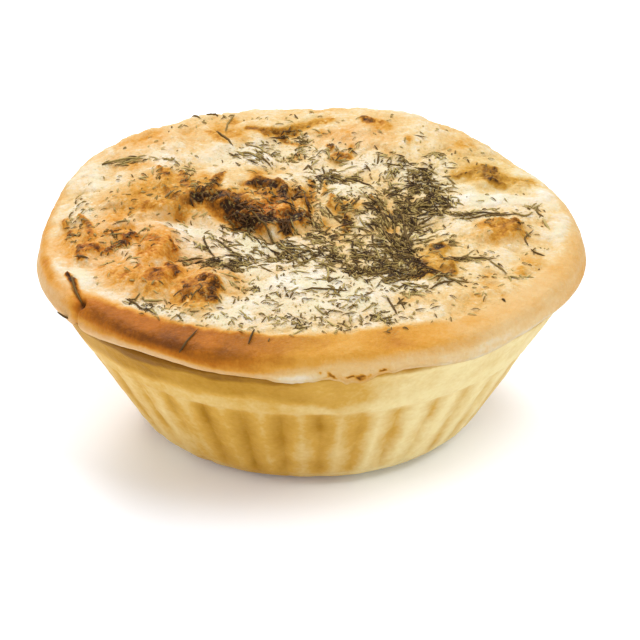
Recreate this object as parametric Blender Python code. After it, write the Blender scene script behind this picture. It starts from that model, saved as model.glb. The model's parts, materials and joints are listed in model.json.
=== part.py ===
"""Spinach and leek mini pie: a fluted pastry cup, closed by a puffed lid strewn with dried dill.

Two pieces of pastry meet at the seam. The cup was baked in a fluted tin, and is solid here because
nothing shows of its filling. The lid overhangs it, with a rolled rim, blisters and the dill fused on.
Metres, +Z up. The origin is the middle of the flat foot, and -Y is the front.
"""

import math
import random

import bmesh
import bpy
from mathutils import Vector
from mathutils.bvhtree import BVHTree

MM = 0.001

# Driving dimensions, in millimetres
LID_RADIUS = 37.5
CUP_HEIGHT = 23.0
SEAM_GAP = 0.3
FOOT_RADIUS = 18.4
FLUTE_TOP = 15.2
FLUTE_COUNT = 36
FLUTE_DEPTH = 0.9
FLUTE_PHASE_DEG = 3.0
BAND_SWELL = 0.5
RIM_HEIGHT = 4.4
DOME_HEIGHT = 1.5
BACK_TILT = 0.026
SHOULDER_WIDTH = 3.4
LIP_WIDTH = 0.35
LIP_INSET = 1.0
RIPPLE_HEIGHT = 0.12
SOFT_EDGE_POWER = 2.8

# The cup's profile over the crests of its flutes: height, radius, and the share of the flutes' depth
CUP_PROFILE = (
    (0.0, FOOT_RADIUS, 0.0),
    (0.3, 20.1, 0.15),
    (1.2, 22.2, 0.4),
    (2.7, 23.9, 0.75),
    (6.0, 25.9, 1.0),
    (10.0, 28.4, 1.0),
    (14.2, 30.9, 1.0),
    (FLUTE_TOP, 31.4, 0.75),
    (15.6, 31.9, 0.0),
    (18.4, 33.2, 0.0),
    (20.8, 34.6, 0.0),
    (22.5, 35.9, 0.0),
    (CUP_HEIGHT, 35.5, 0.0),
)
# Where one flute is sampled: its narrow groove at 0 and its broad crest at 0.5
FLUTE_STEPS = (0.0, 0.19, 0.5, 0.81)

# Where the lid's edge puffed up: degrees from the front towards +X, half-width in degrees, height
RIM_SWELLS = ((-142, 38, 4.2), (156, 27, 4.0), (108, 16, 1.2))
# Blisters and hollows of the lid: x, y, half-length, half-width, turn in degrees, height
LID_BLISTERS = (
    (-6.5, 2.5, 9.0, 3.6, -40, 1.7),
    (-3.0, 8.0, 7.0, 4.2, 98, 1.1),
    (-10.0, 11.5, 4.4, 2.8, 75, 1.0),
    (-20.0, 6.5, 7.5, 5.6, 15, 1.4),
    (-28.5, -4.0, 5.4, 4.2, 60, 1.2),
    (-20.5, -5.5, 5.5, 3.4, 80, 1.3),
    (-25.0, -14.0, 4.5, 3.4, 60, 0.9),
    (-19.5, -16.0, 4.2, 3.0, 80, 0.9),
    (-13.5, -19.0, 5.0, 3.0, 70, 1.0),
    (25.5, -2.0, 5.2, 3.4, 20, 0.9),
    (25.5, 15.5, 6.5, 4.2, -25, 0.9),
    (-4.0, 28.0, 7.0, 3.6, 20, 1.0),
    (10.0, 28.0, 4.4, 3.2, 90, 0.8),
    (5.5, 6.0, 5.0, 4.6, 0, 0.9),
    (-16.0, -1.0, 5.5, 2.2, -20, -0.7),
    (14.0, -4.0, 3.6, 8.0, 0, -0.9),
    (9.5, -13.5, 5.0, 3.2, 0, -0.6),
    (-9.5, -9.0, 5.5, 3.6, -30, -0.6),
)
# Waves round the lid's outline and its lip: number round the rim, size, phase in degrees
OUTLINE_WAVES = ((1, 0.2, 90), (2, 0.1, 180), (3, 0.08, 200), (7, 0.26, 235), (11, 0.05, 310))
LIP_WAVES = ((3, 0.12, 30), (8, 0.34, 108), (13, 0.1, 250))
LID_COLUMNS = 90
TOP_RINGS = 13

# Where the dill fell: x, y, spread across, spread deep, number of needles
DILL_HEAPS = (
    (16.5, 10.5, 1.3, 3.4, 10),
    (2.5, 13.5, 2.4, 1.4, 6),
    (13.5, -3.5, 2.2, 4.4, 14),
    (9.5, -13.5, 3.0, 2.4, 14),
    (17.5, -14.5, 3.2, 2.4, 8),
    (22.0, -10.0, 2.4, 0.9, 3),
    (24.5, 2.3, 3.0, 0.7, 4),
    (-11.0, -9.5, 2.8, 4.0, 9),
    (-2.5, -9.5, 2.6, 3.0, 7),
    (-3.0, 2.5, 4.4, 4.0, 7),
    (2.0, -24.0, 10.0, 3.6, 20),
    (-20.0, -23.0, 5.0, 2.4, 5),
    (-26.0, 6.0, 4.0, 8.0, 6),
    (-4.0, 22.0, 13.0, 5.5, 9),
    (29.0, -6.0, 2.4, 6.0, 3),
)
DILL_SEED = 11
DILL_LENGTH = (2.4, 4.6)
DILL_WIDTH = 0.52
DILL_HEIGHT = 0.42
DILL_LIFT = 0.12
DILL_TIP_SUNK = 0.12
DILL_BEND = 0.7
DILL_SIDES = 4
DILL_REACH = 34.0


def clear_scene():
    for obj in list(bpy.data.objects):
        bpy.data.objects.remove(obj, do_unlink=True)


def pastry(name, colour, roughness):
    """A baked pastry finish."""
    material = bpy.data.materials.new(name)
    material.use_nodes = True
    shader = material.node_tree.nodes["Principled BSDF"]
    shader.inputs["Base Color"].default_value = (*colour, 1.0)
    shader.inputs["Roughness"].default_value = roughness
    shader.inputs["Metallic"].default_value = 0.0
    material.diffuse_color = (*colour, 1.0)
    return material


def waves(turn, table):
    """The sum of a few waves round the pie, at an angle in radians from the front."""
    return sum(size * math.cos(number * turn - math.radians(phase)) for number, size, phase in table)


def spot(turn, radius):
    """The x and y of a point at an angle from the front, counted towards +X."""
    return radius * math.sin(turn), -radius * math.cos(turn)


def smooth_step(low, high, value):
    share = min(1.0, max(0.0, (value - low) / (high - low)))
    return share * share * (3 - 2 * share)


# Cup


def flute_depth(share):
    """How far the wall lies inside the crests, from 1 in the groove to 0 on the crest."""
    off_crest = abs(2 * (share % 1.0) - 1)
    return off_crest ** 2.6


def cup_ring(height, crest_radius, depth_share):
    points = []
    for flute in range(FLUTE_COUNT):
        for share in FLUTE_STEPS:
            turn = math.radians(FLUTE_PHASE_DEG) + math.tau * (flute + share) / FLUTE_COUNT
            inset = FLUTE_DEPTH * depth_share * flute_depth(share)
            # The band above the flutes swells to both sides, and closes in again under the lid
            swell = BAND_SWELL * smooth_step(FLUTE_TOP, 19.0, height) * math.sin(turn) ** 2
            swell *= 1 - smooth_step(21.5, CUP_HEIGHT, height)
            x, y = spot(turn, crest_radius - inset + swell)
            points.append((x, y, height))
    return points


def make_cup(material):
    rings = [cup_ring(*row) for row in CUP_PROFILE]
    return turned_solid("pastry_cup", rings, material)


# Lid


def lid_outline(turn):
    return LID_RADIUS + waves(turn, OUTLINE_WAVES)


def soft_hill(along, aside=0.0):
    """A hill 1 high with a broad top, that has almost ended at a distance of 1.5."""
    return math.exp(-math.hypot(along, aside) ** SOFT_EDGE_POWER)


def blister_height(x, y):
    total = 0.0
    for centre_x, centre_y, length, width, degrees, height in LID_BLISTERS:
        angle = math.radians(degrees)
        across, deep = x - centre_x, y - centre_y
        along = (across * math.cos(angle) + deep * math.sin(angle)) / length
        aside = (-across * math.sin(angle) + deep * math.cos(angle)) / width
        total += height * soft_hill(along, aside)
    return total


def rim_swell(turn):
    total = 0.0
    for degrees, half_width, height in RIM_SWELLS:
        off = (math.degrees(turn) - degrees + 180) % 360 - 180
        total += height * soft_hill(off / half_width)
    return total


def lid_top(x, y):
    """Height of the lid's upper face above the cup's top."""
    turn = math.atan2(x, -y)
    reach = math.hypot(x, y) / (lid_outline(turn) - SHOULDER_WIDTH)
    base = RIM_HEIGHT + BACK_TILT * y + rim_swell(turn) * smooth_step(0.2, 1.0, reach)
    dome = DOME_HEIGHT * max(0.0, 1 - reach * reach)
    ripple = RIPPLE_HEIGHT * math.sin(0.55 * x + 1.3) * math.cos(0.62 * y - 0.4)
    fade = 1 - 0.8 * smooth_step(0.8, 1.05, reach)
    return base + dome + (blister_height(x, y) + ripple) * fade


def lid_rings():
    """Rings from the middle of the top, over the rolled rim, to the flat underside."""
    turns = [math.tau * k / LID_COLUMNS for k in range(LID_COLUMNS)]
    underside = CUP_HEIGHT + SEAM_GAP
    rings = []
    for step in range(1, TOP_RINGS + 1):
        share = (step / TOP_RINGS) ** 0.9
        ring = []
        for turn in turns:
            x, y = spot(turn, share * (lid_outline(turn) - SHOULDER_WIDTH))
            ring.append((x, y, CUP_HEIGHT + lid_top(x, y)))
        rings.append(ring)
    # The rim: over the shoulder, down the face, round the lip and under it
    for out_share, down_share in ((0.5, 0.09), (0.8, 0.28), (0.95, 0.55), (1.0, 0.82)):
        ring = []
        for turn in turns:
            shoulder = lid_outline(turn) - SHOULDER_WIDTH
            x, y = spot(turn, shoulder + out_share * SHOULDER_WIDTH)
            top = CUP_HEIGHT + lid_top(*spot(turn, shoulder))
            lip = underside + waves(turn, LIP_WAVES)
            ring.append((x, y, top + down_share * (lip - top)))
        rings.append(ring)
    rings.append([(*spot(t, lid_outline(t) - LIP_WIDTH), underside + waves(t, LIP_WAVES)) for t in turns])
    rings.append([(*spot(t, lid_outline(t) - LIP_INSET), underside) for t in turns])
    return rings


def turned_solid(name, rings, material):
    """A closed solid through rings of points in millimetres, with a fan of faces at both ends."""
    mesh = bmesh.new()
    loops = [[mesh.verts.new(Vector(point) * MM) for point in ring] for ring in rings]
    for lower, upper in zip(loops, loops[1:]):
        for k in range(len(lower)):
            mesh.faces.new((lower[k - 1], lower[k], upper[k], upper[k - 1]))
    for loop in (loops[0], loops[-1]):
        middle = sum((vert.co for vert in loop), Vector()) / len(loop)
        middle.x = middle.y = 0.0
        hub = mesh.verts.new(middle)
        for k in range(len(loop)):
            mesh.faces.new((loop[k - 1], loop[k], hub))
    bmesh.ops.recalc_face_normals(mesh, faces=mesh.faces)
    bmesh.ops.triangulate(mesh, faces=mesh.faces)
    data = bpy.data.meshes.new(name)
    mesh.to_mesh(data)
    mesh.free()
    data.materials.append(material)
    data.shade_smooth()
    data.set_sharp_from_angle(angle=math.radians(40))
    obj = bpy.data.objects.new(name, data)
    bpy.context.scene.collection.objects.link(obj)
    return obj


# Dill


def needle_line(draw, heap):
    """Four points along a curved needle of dill, seen from above."""
    x, y, across, deep, _ = heap
    start = Vector((draw.gauss(x, across), draw.gauss(y, deep)))
    heading = draw.uniform(0, math.tau)
    length = draw.uniform(*DILL_LENGTH)
    bend = draw.uniform(-DILL_BEND, DILL_BEND)
    line = [start]
    for _ in range(3):
        line.append(line[-1] + Vector((math.cos(heading), math.sin(heading))) * length / 3)
        heading += bend / 3
    return line


def needle(name, line, surface):
    """A needle pointed at both ends, half sunk where it lies on the lid."""
    mesh = bmesh.new()
    rings = []
    for k, flat in enumerate(line):
        hit = surface.ray_cast(Vector((flat.x, flat.y, 60)) * MM, Vector((0, 0, -1)))[0]
        height = hit.z / MM
        along = (line[min(k + 1, 3)] - line[max(k - 1, 0)]).normalized()
        side = Vector((-along.y, along.x))
        if k in (0, len(line) - 1):
            rings.append([mesh.verts.new(Vector((flat.x, flat.y, height - DILL_TIP_SUNK)) * MM)])
            continue
        ring = []
        for corner in range(DILL_SIDES):
            angle = math.tau * corner / DILL_SIDES
            aside = side * math.cos(angle) * DILL_WIDTH / 2
            up = DILL_LIFT + math.sin(angle) * DILL_HEIGHT
            ring.append(mesh.verts.new(Vector((flat.x + aside.x, flat.y + aside.y, height + up)) * MM))
        rings.append(ring)
    for k in range(DILL_SIDES):
        mesh.faces.new((rings[0][0], rings[1][k - 1], rings[1][k]))
        mesh.faces.new((rings[1][k - 1], rings[2][k - 1], rings[2][k], rings[1][k]))
        mesh.faces.new((rings[3][0], rings[2][k], rings[2][k - 1]))
    bmesh.ops.recalc_face_normals(mesh, faces=mesh.faces)
    bmesh.ops.triangulate(mesh, faces=mesh.faces)
    data = bpy.data.meshes.new(name)
    mesh.to_mesh(data)
    mesh.free()
    return bpy.data.objects.new(name, data)


def strew_dill(lid):
    """Lays the needles on the lid in their heaps, and returns them in a collection of their own."""
    heap_collection = bpy.data.collections.new("dill_needles")
    bpy.context.scene.collection.children.link(heap_collection)
    surface = BVHTree.FromObject(lid, bpy.context.evaluated_depsgraph_get())
    draw = random.Random(DILL_SEED)
    for heap in DILL_HEAPS:
        for number in range(heap[-1]):
            line = needle_line(draw, heap)
            if max(point.length for point in line) > DILL_REACH:
                continue
            heap_collection.objects.link(needle(f"needle_{number}", line, surface))
    return heap_collection


def fuse(lid, pieces):
    """Joins every needle to the lid in one union, and keeps the one body that this gives."""
    union = lid.modifiers.new("dill", "BOOLEAN")
    union.operation = "UNION"
    union.operand_type = "COLLECTION"
    union.collection = pieces
    union.solver = "MANIFOLD"
    bpy.context.view_layer.update()
    joined = bpy.data.meshes.new_from_object(lid.evaluated_get(bpy.context.evaluated_depsgraph_get()))
    lid.modifiers.remove(union)
    lid.data = joined
    for piece in list(pieces.objects):
        bpy.data.objects.remove(piece, do_unlink=True)
    bpy.data.collections.remove(pieces)
    keep_largest_body(lid.data)


def keep_largest_body(data):
    """Drops loose scraps and the walls of sealed hollows, which are all smaller than the lid."""
    mesh = bmesh.new()
    mesh.from_mesh(data)
    bodies, seen = [], set()
    for start in mesh.verts:
        if start in seen:
            continue
        body, front = {start}, [start]
        while front:
            vert = front.pop()
            for edge in vert.link_edges:
                other = edge.other_vert(vert)
                if other not in body:
                    body.add(other)
                    front.append(other)
        seen |= body
        bodies.append(body)
    largest = max(bodies, key=len)
    bmesh.ops.delete(mesh, geom=[v for body in bodies if body is not largest for v in body], context="VERTS")
    mesh.to_mesh(data)
    mesh.free()


def main():
    clear_scene()
    make_cup(pastry("shortcrust_baked", (0.75, 0.50, 0.20), 0.6))
    lid = turned_solid("pastry_lid", lid_rings(), pastry("puff_pastry_glazed", (0.80, 0.53, 0.25), 0.45))
    fuse(lid, strew_dill(lid))
    lid.data.shade_smooth()
    lid.data.set_sharp_from_angle(angle=math.radians(40))


main()
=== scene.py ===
"""Spinach and leek mini pie: the baked looks of its fluted cup and puffed lid, and the dried dill on it.

The cup and the lid keep the form of the solids they replace, and add the relief and the browning that
baking gave them. Tables are in millimetres, +X is right, -Y is the front and the foot stands on Z 0.
Run it as a script in Blender 4.5. Registered, it lists its steps in the 3D view's sidebar.
"""

import json
import math
import random

import bpy
import numpy as np
from bpy.props import FloatProperty, FloatVectorProperty, IntProperty, PointerProperty
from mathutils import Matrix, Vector, noise

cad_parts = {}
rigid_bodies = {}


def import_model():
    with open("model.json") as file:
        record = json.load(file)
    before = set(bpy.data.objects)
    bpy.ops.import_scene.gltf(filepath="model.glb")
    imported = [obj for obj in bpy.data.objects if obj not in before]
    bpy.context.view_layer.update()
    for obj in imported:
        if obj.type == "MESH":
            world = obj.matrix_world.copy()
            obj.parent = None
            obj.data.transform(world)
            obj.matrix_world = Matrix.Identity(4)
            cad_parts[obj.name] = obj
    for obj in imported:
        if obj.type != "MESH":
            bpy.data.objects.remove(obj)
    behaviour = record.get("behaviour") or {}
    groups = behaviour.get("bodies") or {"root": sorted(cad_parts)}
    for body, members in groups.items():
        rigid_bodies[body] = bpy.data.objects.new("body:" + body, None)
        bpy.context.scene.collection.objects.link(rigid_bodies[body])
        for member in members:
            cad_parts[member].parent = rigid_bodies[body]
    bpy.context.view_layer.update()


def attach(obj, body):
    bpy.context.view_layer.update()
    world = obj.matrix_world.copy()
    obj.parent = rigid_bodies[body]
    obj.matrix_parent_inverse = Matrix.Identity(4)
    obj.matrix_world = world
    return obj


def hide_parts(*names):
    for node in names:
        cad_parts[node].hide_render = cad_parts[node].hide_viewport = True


bl_info = {
    "name": "Mini pie",
    "version": (1, 0, 0),
    "blender": (4, 5, 0),
    "location": "3D View > Sidebar > Mini pie",
    "description": "Makes a fluted mini pie with a browned lid and dried dill on it",
    "category": "Add Mesh",
}

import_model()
MM = 0.001


# Shape of the pie

CUP_HEIGHT = 23.0
SEAM_GAP = 0.3
FOOT_RADIUS = 18.4
FLUTE_TOP = 15.2
FLUTE_PHASE_DEG = 3.0
BAND_SWELL = 0.5
DOME_HEIGHT = 1.5
BACK_TILT = 0.026
SHOULDER_WIDTH = 3.4
LIP_INSET = 1.0
RIPPLE_HEIGHT = 0.12
SOFT_EDGE_POWER = 2.8

# The cup's profile over the crests of its flutes: height, radius, and the share of the flutes' depth
CUP_PROFILE = (
    (0, FOOT_RADIUS, 0), (0.3, 20.1, 0.15), (1.2, 22.2, 0.4), (2.7, 23.9, 0.75), (6, 25.9, 1),
    (10, 28.4, 1), (14.2, 30.9, 1), (FLUTE_TOP, 31.4, 0.75), (15.6, 31.9, 0), (18.4, 33.2, 0),
    (20.8, 34.6, 0), (22.5, 35.9, 0), (CUP_HEIGHT, 35.5, 0),
)
# Where the lid's edge puffed up: degrees from the front towards +X, half-width in degrees, height
RIM_SWELLS = ((-142, 38, 4.2), (156, 27, 4), (108, 16, 1.2))
# Blisters and hollows of the lid: height, x, y, half-length, half-width, and the turn in degrees if any
LID_BLISTERS = (
    (1.7, -6.5, 2.5, 9, 3.6, -40), (1.1, -3, 8, 7, 4.2, 98), (1, -10, 11.5, 4.4, 2.8, 75),
    (1.4, -20, 6.5, 7.5, 5.6, 15), (1.2, -28.5, -4, 5.4, 4.2, 60), (1.3, -20.5, -5.5, 5.5, 3.4, 80),
    (0.9, -25, -14, 4.5, 3.4, 60), (0.9, -19.5, -16, 4.2, 3, 80), (1, -13.5, -19, 5, 3, 70),
    (0.9, 25.5, -2, 5.2, 3.4, 20), (0.9, 25.5, 15.5, 6.5, 4.2, -25), (1, -4, 28, 7, 3.6, 20),
    (0.8, 10, 28, 4.4, 3.2, 90), (0.9, 5.5, 6, 5, 4.6), (-0.7, -16, -1, 5.5, 2.2, -20),
    (-0.9, 14, -4, 3.6, 8), (-0.6, 9.5, -13.5, 5, 3.2), (-0.6, -9.5, -9, 5.5, 3.6, -30),
)
# Ripples of the lid across and deep: radians on each millimetre, and phase
RIPPLES = ((0.55, 1.3), (0.62, -0.4))
# Shares of the way out to the shoulder: where the edge's swells rise, where blisters and ripples fade, and
# what is left of these on the rim
SWELLS_RISE = (0.2, 1.0)
BLISTERS_FADE = (0.8, 1.05)
BLISTERS_ON_RIM = 0.2
# How far browned blisters stand out, the toast that lifts them, and where that ends near the back
BLISTER_RISE = 0.4
BLISTER_TOAST = (0.26, 0.66)
BLISTERS_END_Y = (24, 14)
# The lid's skin: how much pale dough crinkles, how deep and sharp its folds are, what is left of all that
# on the rim, how far it lies inside the solid's face, and how much further at the back
PALE_CRINKLE = 0.15
FOLD_DEPTH = 0.25
FOLD_SHARPNESS = 7
RIM_RELIEF = 0.2
SKIN_INSET = 0.12
BACK_INSET = 0.3
BACK_Y = (16, 30)
# Painted shade in hollows and painted light on bumps, and how freckled pale dough, toast and the rim are
RELIEF_PAINTED_SHADE = 0.25
PALE_FRECKLES = 0.15
TOAST_FRECKLES = 0.55
RIM_FRECKLES = 0.1
# Waves round the lid's outline and its lip: number round the rim, size, phase in degrees
OUTLINE_WAVES = ((1, 0.2, 90), (2, 0.1, 180), (3, 0.08, 200), (7, 0.26, 235), (11, 0.05, 310))
# Where a flap of the lip droops: degrees from the front, half-width in degrees, how far
LIP_DROOPS = ((-2, 5.5, 0.8), (9.5, 4.5, 1.5), (16.5, 3, 0.5))
LIP_WAVES = ((3, 0.12, 30), (8, 0.34, 108), (13, 0.1, 250))
# Browning of the cup: degrees from the front, and the toast of its flutes' crests, their grooves, the
# ledge above them and the band under the rim, and the height where that band starts. On the left and in
# front the band's toast is partly browning and partly painted shade under the rim.
CUP_TOAST = (
    (-180, 0.3, 0.6, 0.12, 0.4, 17.6), (-90, 0.3, 0.55, 0.14, 0.4, 17.8), (-55, 0.22, 0.36, 0.3, 0.6, 18),
    (-40, 0.22, 0.42, 0.34, 0.66, 18), (-27, 0.3, 0.6, 0.28, 0.58, 18.2),
    (-17, 0.36, 0.68, 0.28, 0.6, 18.2), (-7, 0.28, 0.64, 0.28, 0.56, 18), (0, 0.24, 0.62, 0.2, 0.5, 17.4),
    (4, 0.24, 0.66, 0.16, 0.42, 16.8), (10, 0.2, 0.54, 0.2, 0.36, 16.8), (16, 0.06, 0.4, 0.1, 0.2, 17.2),
    (23, 0, 0.34, 0.04, 0.08, 17.6), (34, 0, 0.28, 0.02, 0.04, 17.6), (48, 0, 0.2, 0.02, 0.06, 17.6),
    (90, 0.14, 0.4, 0.1, 0.2, 17.6), (180, 0.3, 0.6, 0.12, 0.4, 17.6),
)
# Painted shadow on the band right under the lid's lip: where it starts, is full, fades and ends, in degrees
SEAM_SHADOW_DEG = (-64, -54, -5, 0)
# Heights between which the cup's colour changes: up its grooves, at the ledge above them, below and above
# the band's foot, under the lip and at the top, where painted shade is added, and at the foot
GROOVE_FOOT = (0.5, 4.0)
LEDGE_EDGE = (14.6, 15.8)
BAND_FADE = (-0.9, 0.9)
UNDER_LIP = (20.8, 21.6)
CUP_TOP = (22.0, 22.8)
FOOT_EDGE = (1.4, 0.2)
# Where the foot is darker, from full to none: degrees from the front
FOOT_DARK_DEG = (-20, 30)
# How much of the ledge's toast shows, and how much is added: painted shade at the top, a darker foot,
# and painted shadow under the lip
LEDGE_SHARE = 0.85
TOP_SHADE = 0.25
FOOT_DARKENING = 0.35
SEAM_SHADOW = 0.3
# How the browning keeps to the grooves: how soon it starts beside a crest, how much of it is left out, and
# the share of their height that its streaks count
GROOVE_EDGE_POWER = 0.45
GROOVE_PALE = 0.1
STREAK_STRETCH = 0.35
# The rolled rim in section: share of the way out, share of the way down
RIM_SECTION = ((0.0, 0.0), (0.5, 0.09), (0.8, 0.28), (0.95, 0.55), (1.0, 0.82), (0.9, 1.0))

# Browning of the lid, painted in this order: toast, which is 0 for pale dough, 0.5 for golden, 0.75 for
# brown and 1 for burnt, x, y, half-length, half-width, and the turn in degrees if any
BASE_TOAST = 0.16
TOAST_SPOTS = (
    # Pale dough at the back, on the right, in front and in the hollows
    (0.2, -17, 24, 8, 7, 30), (0.27, -25, 20, 4, 6, -35), (0.32, -22, 23, 2, 2.4),
    (0.1, 17, 29, 12, 4.5, -35), (0.16, 14, 24, 6, 5), (0.05, -5, 21, 5.4, 3.2),
    (0.06, -12.5, 17, 3.8, 2.6), (0.05, 7, 16.5, 5, 2.4), (0.17, -1, 29.5, 10, 2.6),
    (0.02, 26, 7.2, 7.5, 2.6), (0.07, 0, -21, 16, 8), (0, 1, -17, 6, 3), (0, -16, -1, 5.5, 2.4, -20),
    (0.05, -6, -8.5, 6, 4, -40), (0.27, 24, -20, 8, 6, 40), (0.12, 28, -6.5, 4, 3),
    (0.1, -29.5, 10, 3.4, 4.5), (0.05, -28.5, -15.5, 5, 1.9, -58), (0.05, -23, -22, 5, 1.6, -35),
    # The golden hump on the left
    (0.28, -27.5, 5, 3.4, 5), (0.44, -18.8, 7.2, 6.2, 6), (0.42, -22.4, 5.6, 2.8, 4),
    (0.62, -19.8, 10, 0.8, 2), (0.6, -17, 8.6, 0.9, 3, 10), (0.48, -14.6, 9.4, 1.2, 3.4),
    (0.7, -20.6, 3.2, 1.3, 0.8, -10), (0.62, -22.6, 3, 0.5, 1.2), (0.58, -17.6, 4.2, 2, 1),
    (0.52, -21, 3.6, 3.4, 1.2), (0.58, -16.2, 4.6, 2.2, 1, 10), (0.42, -24, 14.2, 2.2, 1.5),
    (0.4, -26.6, 5.2, 2.4, 1.6), (0.42, -27, 0.6, 2.2, 2.4), (0.4, -24.8, -1.2, 1.4, 1.2),
    # Orange and brown blisters in front of it
    (0.32, -25.5, -6.5, 7, 6), (0.34, -20, -15, 8, 5.5, -25), (0.46, -31.6, -4, 2.5, 5.2),
    (0.42, -28, -4.8, 3.6, 3.4, 25), (0.56, -25.6, -3.6, 1.6, 1.4), (0.66, -30.2, -8, 0.9, 2.4),
    (0.24, -23.8, -8, 1.4, 3), (0.56, -20.6, -8, 2.4, 4.6), (0.58, -21.4, -11, 1.4, 1.8),
    (0.38, -20.4, -3.4, 2.2, 1.8), (0.36, -27.2, -11.6, 1.2, 1.6), (0.46, -25, -15.4, 2.3, 2.6),
    (0.55, -24, -15.6, 1.1, 1.2), (0.2, -19.6, -13, 1.4, 1.4), (0.7, -18, -14.2, 1.1, 2, 10),
    (0.63, -20.4, -17.6, 2.2, 3.2), (0.66, -20, -16.6, 1, 2), (0.34, -17.6, -18, 0.9, 2.2),
    (0.65, -15.2, -20.4, 2.3, 4), (0.48, -14.8, -24, 2.2, 1.8), (0.74, -12.8, -19.8, 1.4, 3, 10),
    (0.42, -13.4, -14, 1.8, 2.6), (0.42, -10.4, -16.4, 1.8, 2.4), (0.34, -9.6, -20, 1.6, 2),
    # The burnt ridge left of the middle
    (0.62, -5, 4.8, 5.6, 5.4), (0.72, -9, 3.2, 4, 1.8, -45), (0.46, -7, 13, 1.6, 2),
    (0.15, -10.8, 9.6, 1.6, 3.2), (0.42, -10.8, 6.4, 1.4, 1.4), (0.78, -10.6, 4.2, 1.4, 1),
    (0.6, -8.6, 4.6, 0.8, 2.2), (0.3, -7.5, 8.2, 0.6, 1.6), (0.28, -7, 3.4, 0.9, 1.1, 20),
    (0.54, -5.2, 1.8, 0.9, 2.4), (0.46, -4.6, 6.4, 0.6, 2), (0.5, -2.2, 5.4, 0.5, 2.4),
    (0.56, -0.2, 5.4, 1, 3), (0.2, -2, 12, 1.6, 1.6), (0.86, -4.8, -1.2, 1.4, 1.2, -20),
    (0.8, -2.6, -0.8, 1.3, 1.3), (0.98, -0.8, -0.6, 1.2, 1.2), (0.18, -1.2, -4.2, 1.2, 0.8),
    # Tan and gold right of the middle
    (0.48, 5, 3.4, 2.8, 2.2), (0.1, 5.6, 8.6, 2.4, 2.4), (0.42, 2.4, -1.4, 0.7, 2.6),
    (0.3, 4.2, -5.6, 0.9, 3), (0.3, 12, -1, 3, 7), (0.5, 16.8, -9.6, 2.7, 5.2),
    (0.56, 18.2, -12.4, 1.8, 2), (0.38, 15, -7, 1, 2.4), (0.86, 17.8, -7, 0.8, 1.1),
    (0.66, 15.2, -12.4, 1.2, 2.2), (0.72, 16.4, -15.4, 2.2, 0.9), (0.34, 14, -21.5, 3, 1.6),
    (0.32, 20.5, -20, 5, 2.4, 20), (0.6, 26.2, -2.4, 3.5, 2.7, 10), (0.6, 25.2, -1, 2, 1.6),
    (0.68, 28, -1.2, 1, 2.2, -10), (0.4, 23.2, -4.4, 1.8, 1), (0.4, 30.2, -9.6, 1.8, 2.6),
    (0.46, 28.4, -12.6, 1.2, 1.6), (0.4, 23.8, -14.6, 0.9, 2.2, -10),
    # Mustard gold, peach and brown at the back
    (0.4, -10.2, 24, 1.8, 2.4), (0.24, 5, 24, 5, 3), (0.27, 10.4, 22.5, 3.4, 3),
    (0.36, -12.6, 25.4, 1.4, 3), (0.4, -10.8, 28.4, 0.8, 1.8), (0.42, 1.6, 25.4, 1.6, 0.8),
    (0.36, 4.8, 24.4, 1.3, 1.5), (0.48, 10.4, 26.3, 2, 1.3, -40), (0.74, 8.3, 27.6, 0.7, 1.2),
    (0.76, 4.6, 18.6, 1.6, 1), (0.56, 6, 20.4, 0.4, 1.4), (0.4, -1.6, 19.4, 1.2, 1, -40),
    (0.5, 14.4, 22.4, 0.6, 1.2), (0.26, 11.4, 18.6, 1.5, 1.6), (0.36, 22.4, 23, 1.9, 2.8, -20),
    (0.42, 27.6, 12.8, 3.2, 2.2), (0.58, 24.8, 14.2, 2.8, 3.6), (0.65, 25.4, 14.4, 1.2, 2.8),
    (0.48, 21.6, 14.6, 2, 1.4), (0.93, 26, 11.5, 1.2, 0.6, -20), (0.46, 30.6, 13, 1.6, 1.7),
    (0.2, 26, 20, 3.4, 2),
)
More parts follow.
